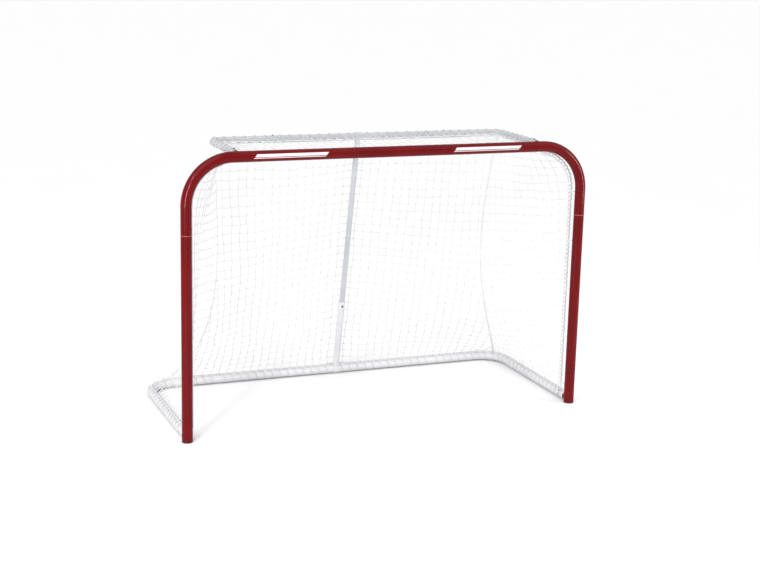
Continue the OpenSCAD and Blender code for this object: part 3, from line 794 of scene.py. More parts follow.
@dataclass
class CutNet:
    """One panel of square mesh, cut along a slanting seam and hung between its four edges.

    Row i runs from edge(i) to seam(i), and a strand of column j ends where the panel gets narrower
    than j meshes. Every free knot rests where the pulls of its four strands balance: each pull is its
    force density times the strand's length, and a short strand pulls harder than a whole one.
    """

    edge: Points
    seam: Border
    width: Callable[[Points], Points]
    low: Border
    high: Border
    rng: np.random.Generator
    drop: float = 0.0005
    uneven: float = 0.16
    ripple: float = 0.006

    def solve(self) -> tuple[Points, Points, Points, Points]:
        """Works out where the knots rest.

        Returns:
            The knots' places, the pairs of knots that strands join, a mask of free knots, and each
            strand's part of a whole mesh.
        """
        rows = len(self.edge) - 1
        i_all = np.arange(rows + 1)
        wide = self.width(i_all / rows)
        columns = int(np.ceil(wide.max()))
        i, j = np.meshgrid(i_all, np.arange(columns), indexing="ij")
        there = j < wide[:, None] - 0.2
        index = np.full(there.shape, -1)
        index[there] = np.arange(there.sum())
        share = np.clip(j / wide[:, None], 0, 1)
        start = self.edge[i] * (1 - share[..., None]) + self.seam(i_all / rows)[:, None] * share[..., None]
        start[0] = self.low(share[0])
        start[-1] = self.high(share[-1])
        places = [start[there]]
        pinned = ((j == 0) | (i == 0) | (i == rows))[there]

        across = there[:, :-1] & there[:, 1:]
        inner_row = across & (i[:, :-1] > 0) & (i[:, :-1] < rows)
        pairs = [np.column_stack([index[:, :-1][inner_row], index[:, 1:][inner_row]])]
        up = there[:-1] & there[1:] & (j[:-1] > 0)
        pairs.append(np.column_stack([index[:-1][up], index[1:][up]]))
        parts = [np.ones(inner_row.sum()), np.ones(up.sum())]

        last = there.sum(axis=1) - 1
        inside = i_all[1:-1]
        row_ends = self.seam(inside / rows)
        count = len(places[0])
        pairs.append(np.column_stack([index[inside, last[inside]], count + np.arange(len(inside))]))
        parts.append(wide[inside] - last[inside])
        count += len(inside)
        places.append(row_ends)

        changes = there[:-1] != there[1:]
        ci, cj = np.nonzero(changes & (j[:-1] > 0))
        below = there[ci, cj]
        span = np.where(np.abs(wide[ci + 1] - wide[ci]) < 1e-6, 1e-6, wide[ci + 1] - wide[ci])
        part = np.clip((cj + 0.1 - wide[ci]) / span, 0.08, 0.92)
        column_ends = self.seam((ci + part) / rows)
        owner = np.where(below, index[ci, cj], index[ci + 1, cj])
        pairs.append(np.column_stack([owner, count + np.arange(len(ci))]))
        parts.append(np.where(below, part, 1 - part))
        places.append(column_ends)

        place_all = np.concatenate(places)
        pair_all = np.concatenate(pairs)
        part_all = np.concatenate(parts)
        free = np.zeros(len(place_all), bool)
        free[:len(pinned)] = ~pinned
        place_all[free] = self._balance(place_all, pair_all, part_all, free)
        swell = self._swell(place_all, free)
        place_all += swell
        return place_all, pair_all, free, part_all

    def _balance(self, place_all: Points, pairs: Points, parts: Points, free: Points) -> Points:
        """Solves the balance of pulls for the free knots and returns their places."""
        pull = np.exp(self.rng.normal(0, self.uneven, len(pairs))) / np.maximum(parts, 0.25)
        number = np.cumsum(free) - 1
        size = int(free.sum())
        matrix = np.zeros((size, size))
        load = np.zeros((size, 3))
        load[:, 2] = -self.drop
        for one, two in ((0, 1), (1, 0)):
            mine, other = pairs[:, one], pairs[:, two]
            use = free[mine]
            np.add.at(matrix, (number[mine[use]], number[mine[use]]), pull[use])
            both = use & free[other]
            np.add.at(matrix, (number[mine[both]], number[other[both]]), -pull[both])
            held = use & ~free[other]
            np.add.at(load, number[mine[held]], pull[held, None] * place_all[other[held]])
        return np.linalg.solve(matrix, load)

    def _swell(self, place_all: Points, free: Points) -> Points:
        """Returns the loose net's slow waves: three crossed sines of the place, nothing at the edges."""
        wave = np.zeros(len(place_all))
        for size in (0.55, 0.33, 0.21):
            direction = unit(self.rng.normal(0, 1, 3))
            wave += size * np.sin(place_all @ direction * 2 * np.pi / size + self.rng.uniform(0, 6))
        pinned = place_all[~free]
        near = np.sqrt(((place_all[:, None] - pinned[None]) ** 2).sum(axis=2)).min(axis=1)
        out = np.zeros_like(place_all)
        reach = np.minimum(near / 0.16, 1.0)
        out[:, 0] = 0.5 * wave * reach * self.ripple
        out[:, 1] = wave * reach * self.ripple
        return out


@dataclass
class Netting:
    """The net: two sides, the back in two halves over the support, the top, and the border ropes."""

    layout: Layout
    lace_bar: LaceBar
    top_lace: tuple[float, float, float]
    mesh: float = 0.041
    rows: int = 31
    strand_r: float = 0.0014
    rope_r: float = 0.0030
    seam_inward: float = 0.035
    seam_back: float = 0.065
    side_power: float = 5.0
    rear_power: float = 7.0
    gap_behind_support: float = 0.0239
    base_draw: float = 0.05
    shelf_draw: float = 0.12
    middle_draw: float = 0.10
    strand_droop: float = 0.0022
    strand_spread: float = 0.0009
    seam_rope_r: float = 0.0020
    seam_rope_aside: float = 0.0021
    top_sag: float = 0.017
    top_droop: float = 0.0012
    top_spread: float = 0.0008
    top_knot_spread: float = 0.0022
    top_rear_room: float = 0.006

    def __post_init__(self) -> None:
        """Works out the U-shaped rope lines on the rails and the random source."""
        p = self.layout
        self.rng = np.random.default_rng(SEED)
        self.base = RailLoop(p.post_x, p.base_y, p.base_start, p.base_z, p.base_corner_r)
        self.shelf = RailLoop(p.shelf_x, p.shelf_y, p.shelf_start, p.shelf_z, p.shelf_corner_r)
        self.low_z = p.base_z + p.base_r + p.cord_d + self.rope_r
        self.high_z = p.shelf_z - p.shelf_r - p.cord_d - self.rope_r

    @property
    def knot_size(self) -> tuple[float, float, float]:
        """Half sizes of a knot along its two strands and square to them."""
        return self.strand_r * 2.1, self.strand_r * 1.9, self.strand_r * 1.5

    def seam(self, t: Points) -> Points:
        """Returns the right-hand seam at heights t from 0, on the floor rail, to 1, on the shelf rail.

        It comes off the corner of the floor frame and draws in fast, as (1 - t) to the fifth power
        sideways and to the seventh forwards. It bows inwards and to the rear by a half sine.
        """
        p = self.layout
        cut = 1 - math.sqrt(0.5)
        bow = np.sin(np.pi * t)
        top_x, top_y = p.shelf_x - cut * p.shelf_corner_r, p.shelf_y - cut * p.shelf_corner_r
        low_x, low_y = p.post_x - cut * p.base_corner_r, p.base_y - cut * p.base_corner_r
        x = top_x + (low_x - top_x) * (1 - t) ** self.side_power - self.seam_inward * bow
        y = top_y + (low_y - top_y) * (1 - t) ** self.rear_power + self.seam_back * bow
        z = self.low_z + (self.high_z - self.low_z) * t
        return np.stack([x, y, z], axis=-1)

    def seam_even(self, t: Points) -> Points:
        """Returns the seam at equal steps of its length instead of its height."""
        fine = np.linspace(0, 1, 400)
        s = arc_length(self.seam(fine))
        return self.seam(np.interp(t * s[-1], s, fine))

    def ridge(self, side: Side) -> Points:
        """Returns the line where the back net lies over the support, as seen from the right-hand half."""
        p = self.layout
        z = np.linspace(self.low_z, self.high_z, self.rows + 1)
        t = (z - p.base_z) / (p.shelf_z - p.base_z)
        x = p.foot_x + (p.top_x - p.foot_x) * t
        y = p.base_y + (p.shelf_y - p.base_y) * t + self.gap_behind_support
        return np.column_stack([x * side.value, y, z])

    def front_edge(self) -> Points:
        """Returns the front border line of the right-hand side net, at even steps."""
        path = self.lace_bar.path(inset=0.0095, back=0.0070)
        path[:, 2] += np.linspace(self.low_z - path[0, 2], 0, len(path))
        s = arc_length(path)
        return resampled(path, np.linspace(0, s[-1] - 0.01, self.rows + 1))

    @staticmethod
    def edge_on_rail(loop: RailLoop, z: float, start: Points, reach: float,
                     from_middle: float | None) -> Border:
        """Returns a function for a border on a rail, from a start point to the corner's middle.

        It runs along the rail, and its first reach metres are drawn over to the start point, by
        (1 - distance / reach) squared.

        Args:
            loop: the rails.
            z: the border's height.
            start: where it begins.
            reach: how much of it is drawn over.
            from_middle: the x it begins from on the rear rail, or None for the front end of the side.
        """
        path = loop.path()[::-1]
        path[:, 2] = z
        s = arc_length(path)
        corner = loop.corner_mid()
        if from_middle is None:
            stations = np.array([0.0, corner])
        else:
            inner = loop.half_width - loop.corner_r
            side_and_bend = loop.rear_y - loop.corner_r - loop.start_y + loop.corner_r * np.pi / 2
            stations = np.array([side_and_bend + inner - from_middle, corner])

        def border(share: Points) -> Points:
            """Returns the border's points at shares from 0 to 1 of its length."""
            at = stations[0] + (stations[1] - stations[0]) * share
            points = np.stack([np.interp(at, s, path[:, k]) for k in range(3)], axis=-1)
            gone = np.abs(at - stations[0])
            draw = np.clip(1 - gone / reach, 0, 1)[:, None] ** 2
            first = np.array([np.interp(stations[0], s, path[:, k]) for k in range(3)])
            return points + draw * (start - first)

        return border

    def panel(self, edge: Points, low: Border, high: Border) -> CutNet:
        """Returns the panel between an edge and the seam, whose width follows from where it is tied.

        Args:
            edge: the border opposite the seam, at even steps.
            low: the border on the floor rail, by its share.
            high: the border on the shelf rail, by its share.
        """
        rows = np.arange(self.rows + 1) / self.rows
        ruled = np.linalg.norm(self.seam_even(rows) - edge, axis=1) / self.mesh
        ruled[0] = arc_length(low(np.linspace(0, 1, 60)))[-1] / self.mesh
        return CutNet(edge, self.seam_even, lambda t: np.interp(t, rows, ruled), low, high, self.rng)

    def side_panel(self) -> CutNet:
        """Returns the right-hand side net."""
        edge = self.front_edge()
        low = self.edge_on_rail(self.base, self.low_z, edge[0], self.base_draw, None)
        high = self.edge_on_rail(self.shelf, self.high_z, edge[-1], self.shelf_draw, None)
        return self.panel(edge, low, high)

    def back_panel(self, side: Side) -> CutNet:
        """Returns one half of the back net, built on the right."""
        edge = self.ridge(side)
        low = self.edge_on_rail(self.base, self.low_z, edge[0], self.middle_draw, edge[0, 0])
        high = self.edge_on_rail(self.shelf, self.high_z, edge[-1], self.middle_draw, edge[-1, 0])
        return self.panel(edge, low, high)

    def knotted(self, panel: CutNet, out: Surface) -> None:
        """Adds a panel's strands and knots.

        A strand is drawn through three points: its ends, and its middle, which drops a little.

        Args:
            panel: the panel.
            out: the surface that they join.
        """
        places, pairs, free, parts = panel.solve()
        one, two = places[pairs[:, 0]], places[pairs[:, 1]]
        run = two - one
        length = np.linalg.norm(run, axis=1, keepdims=True)
        level = 1 - np.abs(run[:, 2:]) / np.maximum(length, 1e-9)
        droop = self.rng.normal(0, self.strand_spread, one.shape)
        droop[:, 2] -= self.strand_droop * level[:, 0]
        middle = (one + two) / 2 + droop * np.minimum(parts, 1.0)[:, None]
        bundle(out, np.stack([one, middle, two], axis=1), self.strand_r, 6)
        self.tie(out, places, pairs)

    def tie(self, out: Surface, places: Points, pairs: Points) -> None:
        """Adds a knot at every place where strands meet, turned along the first strand there."""
        used, first = np.unique(pairs.ravel(), return_index=True)
        run = places[pairs[:, 1]] - places[pairs[:, 0]]
        along = run[first // 2]
        across = np.cross(along, self.rng.normal(0, 1, along.shape) * 0.15 + [0.2, 1.0, 0.1])
        lumps(out, places[used], along, across, self.knot_size, self.rng.uniform(0, 6, len(used)))

    def rope(self, out: Surface, path: Points, radius: float | None = None) -> None:
        """Adds a border rope along a path."""
        sweep(out, path, self.rope_r if radius is None else radius, 8)

    def seam_rope(self, out: Surface) -> None:
        """Adds the right-hand seam: two ropes side by side, bound by a thin cord in close turns."""
        path = self.seam_even(np.linspace(0, 1, 160))
        tangent = unit(np.gradient(path, axis=0))
        aside = unit(np.cross(tangent, np.array([1.0, 1.0, 0.0])))
        for sign in (-1.0, 1.0):
            self.rope(out, path + sign * self.seam_rope_aside * aside, self.seam_rope_r)
        binding = Winding(radius=0.0048, pitch=0.021, cord_r=0.0009)
        wind(out, path, np.broadcast_to(aside, path.shape), binding, (0.0, arc_length(path)[-1]))

    def build_side(self, side: Side) -> bpy.types.Object:
        """Builds one side net with its front border and its seam."""
        out = Surface()
        panel = self.side_panel()
        self.knotted(panel, out)
        self.rope(out, panel.edge)
        self.seam_rope(out)
        name = side.name.lower()
        return (out if side is Side.RIGHT else out.mirrored()).build(f"{name}_side_netting")

    def build_back(self) -> bpy.types.Object:
        """Builds the back net in two halves, and the strand that lies over the support."""
        out = Surface()
        for side in Side:
            half = Surface()
            self.knotted(self.back_panel(side), half)
            half = half if side is Side.RIGHT else half.mirrored()
            for verts, faces, uvs in zip(half.verts, half.faces, half.uvs):
                out.verts.append(verts)
                out.faces.append(faces + out.count)
                out.uvs.append(uvs)
            out.count += half.count
        self.rope(out, self.ridge(Side.RIGHT), self.strand_r)
        return out.build("back_netting")

    def build_borders(self) -> bpy.types.Object:
        """Builds the ropes that run round the floor rails and the shelf rails."""
        out = Surface()
        share = np.linspace(0, 1, 160)
        side = self.front_edge()
        for loop, z, end, reach in ((self.base, self.low_z, 0, self.base_draw),
                                    (self.shelf, self.high_z, -1, self.shelf_draw)):
            halves = []
            for half in Side:
                ridge = self.ridge(half)[end]
                front = self.edge_on_rail(loop, z, side[end], reach, None)(share)
                rear = self.edge_on_rail(loop, z, ridge, self.middle_draw, ridge[0])(share)
                halves.append(np.concatenate([front, rear[::-1][1:]]) * [half.value, 1, 1])
            self.rope(out, np.concatenate([halves[0], halves[1][::-1][1:]]))
        return out.build("border_ropes")

    def build_top(self) -> bpy.types.Object:
        """Builds the net over the shelf: straight strands both ways, sagging like a shallow dish.

        The drop is the greatest at the middle and falls to nothing at the rails, by
        (1 - (x / half width) squared) * (1 - (y from the middle / half depth) squared).
        """
        p = self.layout
        half_length, front_y, front_z = self.top_lace
        rear_y = p.shelf_y - p.shelf_r
        depth = rear_y - front_y
        half_x = p.shelf_x - p.shelf_r

        def dish(x: Points, y: Points) -> Points:
            """Returns the net's points over the places x, y."""
            v = np.clip((y - front_y) / depth, 0, 1)
            level = front_z + (p.shelf_z - front_z) * v
            sag = self.top_sag * (1 - (x / half_x) ** 2) * 4 * v * (1 - v)
            return np.stack([x, y, level - np.maximum(sag, 0)], axis=-1)

        def rear_limit(x: Points) -> Points:
            """Returns the rear rail's inner line at x, which is round in the corners."""
            r = p.shelf_corner_r - p.shelf_r
            over = np.clip(np.abs(x) - (half_x - r), 0, r)
            return rear_y - r + np.sqrt(np.maximum(r * r - over * over, 0))

        columns = int(round(2 * half_x / self.mesh))
        lines = int(round(depth / self.mesh))
        xs = np.linspace(-half_x, half_x, columns + 1)
        ys = np.linspace(front_y, rear_y, lines + 1)
        x, y = np.meshgrid(xs, ys, indexing="ij")
        moved = self.rng.normal(0, self.top_knot_spread, (2, *x.shape))
        between = (np.abs(x) < half_x - 1e-6) & (y > front_y + 1e-6)
        inner = between & (y < rear_limit(x) - self.top_rear_room)
        x = x + moved[0] * inner
        y = np.minimum(y + moved[1] * inner, rear_limit(x))
        knots = dish(x, y)
        along = (inner[:-1] | inner[1:])
        back = (inner[:, :-1] | inner[:, 1:])
        one = np.concatenate([knots[:-1][along], knots[:, :-1][back]])
        two = np.concatenate([knots[1:][along], knots[:, 1:][back]])
        middle = (one + two) / 2 + self.rng.normal(0, self.top_spread, one.shape) - [0, 0, self.top_droop]
        out = Surface()
        bundle(out, np.stack([one, middle, two], axis=1), self.strand_r, 6)
        centres = knots[inner]
        along, across = (np.tile(np.eye(3)[k], (len(centres), 1)) for k in (0, 1))
        lumps(out, centres, along, across, self.knot_size, self.rng.uniform(0, 6, len(centres)))
        return out.build("top_netting")

    def dress(self, twine: bpy.types.Material, cord: bpy.types.Material) -> None:
        """Builds all the netting and gives it its finish, and the border ropes theirs."""
        for side in Side:
            name = side.name.lower()
            place(self.build_side(side), twine, "net_twine", f"{name}_side_net", f"{name}_seam_cord")
        place(self.build_back(), twine, "net_twine", "back_net")
        place(self.build_top(), twine, "net_twine", "top_net")
        place(self.build_borders(), cord, "lacing_cord")


# ---------------------------------------------------------------- lacing

@dataclass(frozen=True)
class Winding:
    """A cord wound round something.

    Attributes:
        radius: from the middle of what it goes round to the middle of the cord.
        pitch: the advance in one turn.
        cord_r: the cord's own radius.
        hand: 1 for a right-handed turn and -1 for a left-handed one.
        rise: how far the cord stands off where it passes over a rope on the "across" side.
    """

    radius: float
    pitch: float
    cord_r: float
    hand: int = 1
    rise: float = 0.0


def wind(out: Surface, path: Points, across: Points, winding: Winding, run: Span) -> None:
    """Adds a cord in a helix round a path.

    With s the distance along the path and turn = hand * s / pitch, each point is
    path(s) + (radius + rise * hump) * (cos(turn) * n + sin(turn) * b), where n points across and the
    hump is the sixth power of cos(turn), on that side only. The turns are evened out to fill the run.

    Args:
        out: the surface that it joins.
        path: the line that it goes round.
        across: a direction for each path point, where a turn starts.
        winding: its sizes.
        run: the distances along the path where it starts and ends.
    """
    length = run[1] - run[0]
    turns = max(1, round(length / winding.pitch))
    at = np.linspace(run[0], run[1], turns * 16 + 1)
    centre = resampled(path, at)
    s = arc_length(path)
    reference = np.stack([np.interp(at, s, across[:, k]) for k in range(3)], axis=1)
    tangent = unit(np.gradient(centre, axis=0))
    normal = unit(reference - tangent * np.sum(reference * tangent, axis=1, keepdims=True))
    binormal = np.cross(tangent, normal)
    a = 2 * np.pi * winding.hand * np.linspace(0, turns, len(at))
    hump = np.clip(np.cos(a), 0, 1) ** 6
    r = (winding.radius + winding.rise * hump)[:, None]
    around = np.cos(a)[:, None] * normal + np.sin(a)[:, None] * binormal
    sweep(out, centre + r * around, winding.cord_r, 6, across=around)


@dataclass
class Lacing:
    """The cords that tie the net's borders to the rails and to the lace bars."""

    layout: Layout
    net: Netting
    half_clamp: float = 0.021
    clear: float = 0.011
    shelf_pitch: float = 0.048
    on_bar: float = 0.00495
    peg_clear: float = 0.006
    end_clear: float = 0.004
    shortest: float = 0.03
    top_peg_margin: float = 0.02
    top_pegs: int = 6

    def runs(self, loop: RailLoop, stops: Sequence[Span]) -> list[Span]:
        """Returns the stretches of a U of rails between things that interrupt the lacing.

        Args:
            loop: the rails.
            stops: the distance along the rails of each thing, and half the room that it takes.
        """
        total = arc_length(loop.path())[-1]
        edges = sorted(stops)
        begins = [self.end_clear] + [s + h for s, h in edges]
        ends = [s - h for s, h in edges] + [total - self.end_clear]
        return [(a, b) for a, b in zip(begins, ends) if b - a > self.shortest]

    def stops(self, loop: RailLoop, bolts: str, screws: str, clamp_x: float) -> list[Span]:
        """Returns the bolts, screws and clamp of a U of rails as distances along it.

        Args:
            loop: the rails.
            bolts: the node of the bolts at its front ends.
            screws: the node of the screws in its rear rail.
            clamp_x: the middle of the support's clamp.
        """
        bolt_low, bolt_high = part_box(bolts)
        screw_low, screw_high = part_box(screws)
        bolt_y = (bolt_low.y + bolt_high.y) / 2
        screw_x = screw_high.x - (screw_high.y - screw_low.y) / 2
        side = loop.rear_y - loop.corner_r - loop.start_y
        middle = side + loop.corner_r * np.pi / 2 + (loop.half_width - loop.corner_r)
        bolt = bolt_y - loop.start_y
        return [(bolt, self.clear), (middle - screw_x, self.clear), (middle + clamp_x, self.half_clamp),
                (middle + screw_x, self.clear), (2 * middle - bolt, self.clear)]

    def build_rail(self, name: str, loop: RailLoop, up: float, windings: Sequence[Winding],
                   stops: Sequence[Span]) -> bpy.types.Object:
        """Builds the lacing of one U of rails.

        Args:
            name: the piece's name.
            loop: the rails.
            up: 1 if the net's border lies on the rails, or -1 if it hangs under them.
            windings: the cords that go round.
            stops: what interrupts them.
        """
        out = Surface()
        path = loop.path()
        across = np.tile([0.0, 0.0, up], (len(path), 1))
        for run in self.runs(loop, stops):
            for winding in windings:
                wind(out, path, across, winding, run)
        return out.build(name)

    def build_post(self, side: Side, pegs: Points) -> bpy.types.Object:
        """Builds the lacing of one side lace bar, in stretches between its pegs."""
        out = Surface()
        path = self.net.lace_bar.path()
        inward = np.tile([-0.75, 0.66, 0.0], (len(path), 1))
        bend_z = self.net.lace_bar.bend_z
        inward[:, 2] = np.interp(path[:, 2], [path[0, 2], bend_z, path[-1, 2]], [0, 0, -0.7])
        total = arc_length(path)[-1]
        marks = np.concatenate([[0.0], pegs - path[0, 2], [total]])
        winding = Winding(self.on_bar, self.net.mesh / 2, self.layout.cord_d / 2, rise=2 * self.net.rope_r)
        for a, b in zip(marks[:-1], marks[1:]):
            if b - a > self.shortest:
                wind(out, path, inward, winding, (a + self.peg_clear, b - self.peg_clear))
        return (out if side is Side.RIGHT else out.mirrored()).build(f"{side.name.lower()}_bar_cord")

    def build_crossbar(self, pegs: Points) -> bpy.types.Object:
        """Builds the lacing of the top lace bar, in stretches between its pegs."""
        half, y, z = self.net.top_lace
        out = Surface()
        x = np.linspace(-half, half, 300)
        path = np.column_stack([x, np.full_like(x, y), np.full_like(x, z)])
        back = np.tile([0.0, 1.0, 0.0], (len(x), 1))
        marks = pegs + half
        winding = Winding(self.on_bar, self.net.mesh / 2, self.layout.cord_d / 2)
        for a, b in zip(marks[:-1], marks[1:]):
            wind(out, path, back, winding, (a + self.peg_clear, b - self.peg_clear))
        return out.build("crossbar_cord")

    def dress(self, cord: bpy.types.Material) -> None:
        """Builds all the lacing and gives it its finish."""
        p, net = self.layout, self.net
        cord_r = p.cord_d / 2
        base_cords = [Winding(p.base_r + cord_r, net.mesh, cord_r, rise=2 * net.rope_r)]
        shelf_cords = [Winding(p.shelf_r + cord_r, self.shelf_pitch, cord_r, hand, rise=2 * net.rope_r)
                       for hand in (1, -1)]
        stops = self.stops(net.base, "base_stub_bolts", "base_joint_screws", p.foot_x)
        place(self.build_rail("floor_rail_cord", net.base, 1.0, base_cords, stops), cord, "lacing_cord",
              "base_lacing")
        stops = self.stops(net.shelf, "shelf_stub_bolts", "shelf_joint_screws", p.top_x)
        place(self.build_rail("shelf_rail_cord", net.shelf, -1.0, shelf_cords, stops), cord, "lacing_cord",
              "shelf_lacing")
        for side in Side:
            name = side.name.lower()
            place(self.build_post(side, net.lace_bar.pegs()), cord, "lacing_cord", f"{name}_post_lacing")
        outer = net.top_lace[0] - self.top_peg_margin
        pegs = np.linspace(-outer, outer, self.top_pegs)
        place(self.build_crossbar(pegs), cord, "lacing_cord", "crossbar_lacing")


# ---------------------------------------------------------------- welds

@dataclass
class Welds:
    """The beads where the stubs and the lace bars' pegs are welded to the posts."""

    layout: Layout
    bead_r: float = 0.0026
    peg_bead_r: float = 0.0014
    peg_ring_r: float = 0.0031

    def saddle(self, out: Surface, centre: Points, stub_r: float) -> None:
        """Adds a bead where a level stub, pointing to the rear, meets an upright post.

        With a round the stub, each point is centre + stub_r * (cos a, 0, sin a), moved to the rear to
        the post's skin at that x, and its radius ripples 30 times round.

        Args:
            out: the surface that it joins.
            centre: the post's axis at the stub's height.
            stub_r: the stub's radius.
        """
        a = np.linspace(0, 2 * np.pi, 181)[:-1]
        x, z = stub_r * np.cos(a), stub_r * np.sin(a)
        y = np.sqrt(np.maximum(self.layout.post_r ** 2 - x ** 2, 0))
        path = centre + np.stack([x, y, z], axis=1)
        outward = np.stack([np.cos(a), np.zeros_like(a), np.sin(a)], axis=1)
        sweep(out, path, self.bead_r * (1 + 0.10 * np.sin(30 * a)), 8, across=outward, closed=True)

    def ring(self, out: Surface, centre: Points, axis: Points, radius: float) -> None:
        """Adds a small round bead round a peg: centre + radius * (cos a * n + sin a * b)."""
        a = np.linspace(0, 2 * np.pi, 49)[:-1]
        n = side_vectors(axis[None])[0]
        b = np.cross(axis, n)
        outward = np.cos(a)[:, None] * n + np.sin(a)[:, None] * b
        wavy = self.peg_bead_r * (1 + 0.15 * np.sin(9 * a))
        sweep(out, centre + radius * outward, wavy, 6, across=outward, closed=True)

    def build(self, bar: LaceBar) -> bpy.types.Object:
        """Builds the beads of both posts."""
        p = self.layout
        out = Surface()
        low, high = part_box("right_base_stub")
        stub_r = (high.z - low.z) / 2
        for side in Side:
            post = np.array([side.value * p.post_x, p.goal_y, 0.0])
            self.saddle(out, post + [0, 0, p.base_z], stub_r)
            peg = unit(np.array([side.value * (bar.x - p.post_x), bar.y - p.goal_y, 0.0]))
            for z in bar.pegs():
                self.ring(out, post + peg * p.post_r + [0, 0, z], peg, self.peg_ring_r)
        return out.build("weld_beads")


@dataclass
class JointEdges:
    """The rims where the crossbar's legs meet the posts: rubbed paint, whose lighter red is also a painted
    highlight.
    """

    layout: Layout
    joint_z: float
    stands_out: float = 0.0006
    rim_r: float = 0.0022

    def build(self) -> bpy.types.Object:
        """Builds both rims: a ring of points post axis + radius * (cos a, sin a, 0), a little sunk in."""
        out = Surface()
        p = self.layout
        a = np.linspace(0, 2 * np.pi, 97)[:-1]
        outward = np.stack([np.cos(a), np.sin(a), np.zeros_like(a)], axis=1)
        radius = p.post_r + self.stands_out - self.rim_r
        for side in Side:
            centre = np.array([side.value * p.post_x, p.goal_y, self.joint_z])
            sweep(out, centre + radius * outward, self.rim_r, 8, across=outward, closed=True)
        return out.build("joint_edges")


# ---------------------------------------------------------------- the snap button's spring

@dataclass
class LeafSpring:
    """The V-shaped strip in the centre support that pushes the snap button out.

    One leg lies on the back of the inner tube and stays there. The other lies under the button and
    goes with it, so the strip bends between the two. All its sizes are beside the support's axis, x
    towards the button and s up the support from the button's middle.
    """

    layout: Layout
    button_s: float = 0.374
    front_x: float = 0.0069
    back_x: float = -0.0096
    top_s: float = 0.0065
    tip_s: float = -0.061
    tip_r: float = 0.0012
    thick: float = 0.0008
    wide: float = 0.010
    step: float = 0.0005
    neighbours: int = 9
    still_from: float = -0.0005
    moves_from: float = 0.0060

    def axes(self) -> tuple[Points, Points, Points, Points]:
        """Returns the button's middle, the direction it comes out, the one across and the one up."""
        p = self.layout
        foot = np.array([p.foot_x, p.base_y, p.base_z])
        up = unit(np.array([p.top_x, p.shelf_y, p.shelf_z]) - foot)
        level = unit(np.array([up[0], up[1], 0.0]))
        out = unit(level * up[2] - np.array([0.0, 0.0, 1.0]) * (up @ level))
        return foot + up * self.button_s, out, np.cross(up, out), up

    def line(self) -> Points:
        """Returns the strip's middle line as (x, s) points: down the back leg, round the tip, and up.

        The corners are rounded by taking the mean of neighbours at even steps.
        """
        half = self.thick / 2
        corners = np.array([
            [self.back_x + half, self.top_s], [-self.tip_r, self.tip_s], [self.tip_r, self.tip_s],
            [self.front_x - half, -self.top_s], [self.front_x - half, self.top_s]])
        flat = np.column_stack([corners, np.zeros(len(corners))])
        s = arc_length(flat)[-1]
        fine = resampled(flat, np.linspace(0, s, int(s / self.step)))[:, :2]
        pad = self.neighbours // 2
        padded = np.concatenate([np.repeat(fine[:1], pad, axis=0), fine, np.repeat(fine[-1:], pad, axis=0)])
        mean = np.full(self.neighbours, 1 / self.neighbours)
        return np.stack([np.convolve(padded[:, k], mean, mode="valid") for k in range(2)], axis=1)

    def build(self) -> bpy.types.Object:
        """Builds the strip: a rounded oblong carried along the middle line."""
        middle, out_dir, across, up = self.axes()
        line = self.line()
        path = middle + line[:, :1] * out_dir + line[:, 1:] * up
        tangent = unit(np.gradient(path, axis=0))
        normal = np.cross(tangent, across)
        a = np.arange(16) * 2 * np.pi / 16
        x = self.thick / 2 * np.sign(np.cos(a)) * np.abs(np.cos(a)) ** 0.3
        y = self.wide / 2 * np.sign(np.sin(a)) * np.abs(np.sin(a)) ** 0.3
        verts = path[:, None] + x[None, :, None] * normal[:, None] + y[None, :, None] * across
        rows, sides = verts.shape[:2]
        i, k = np.arange(rows - 1)[:, None] * sides, np.arange(sides)[None]
        turn = (k + 1) % sides
        quads = np.stack([i + k, i + turn, i + sides + turn, i + sides + k], axis=-1).reshape(-1, 4)
        if np.linalg.det(np.stack([normal[0], np.asarray(across), tangent[0]])) < 0:
            quads = quads[:, ::-1]
        out = Surface()
        out.add(verts, quads, np.zeros((len(quads), 4, 2)))
        ends = np.array([np.arange(sides)[::-1], (rows - 1) * sides + np.arange(sides)])
        out.add_faces(ends, np.zeros((2, sides, 2)))
        return out.build("leaf_spring")

    def dress(self, steel: bpy.types.Material) -> None:
        """Builds the strip, gives it its finish and hides the frame's own spring."""
        obj = self.build()
        obj.data.materials.append(steel)
        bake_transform(obj)
        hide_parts("button_spring")
        log.info("%s: %d faces", obj.name, len(obj.data.polygons))


# ---------------------------------------------------------------- the frame's own nodes

@dataclass
class Metalwork:
    """The frame's own nodes, which take the finish of their slot in the record, except the upper white parts,
    which take a darker copy of the enamel as painted shade.
    """

    finishes: dict[str, bpy.types.Material]
    labels: dict[str, bpy.types.Material]
    shade_painted_parts: Sequence[str] = ("left_shelf_rail", "right_shelf_rail", "rear_shelf_rail", "support_upper_tube",
                             "support_top_clamp")

    def dress(self) -> None:
        """Gives every node that stays in view its material in place of the one that it came with."""
        for part in frame["record"]["subparts"]:
            node = part["node"]
            # painted shade: the shelf rails, the upper support tube and its clamp take a darker copy of the
            # white enamel
            finish = "white_paint_painted_shade" if node in self.shade_painted_parts else part["material_slot"]
            material = self.labels.get(node) or self.finishes[finish]
            self.give(node, material)

    @staticmethod
    def give(name: str, material: bpy.types.Material) -> None:
        """Puts the material on a node."""
        mesh = frame["nodes"][name].data
        mesh.materials.clear()
        mesh.materials.append(material)
        log.info("%s: %s", name, material.name)


# ---------------------------------------------------------------- studio

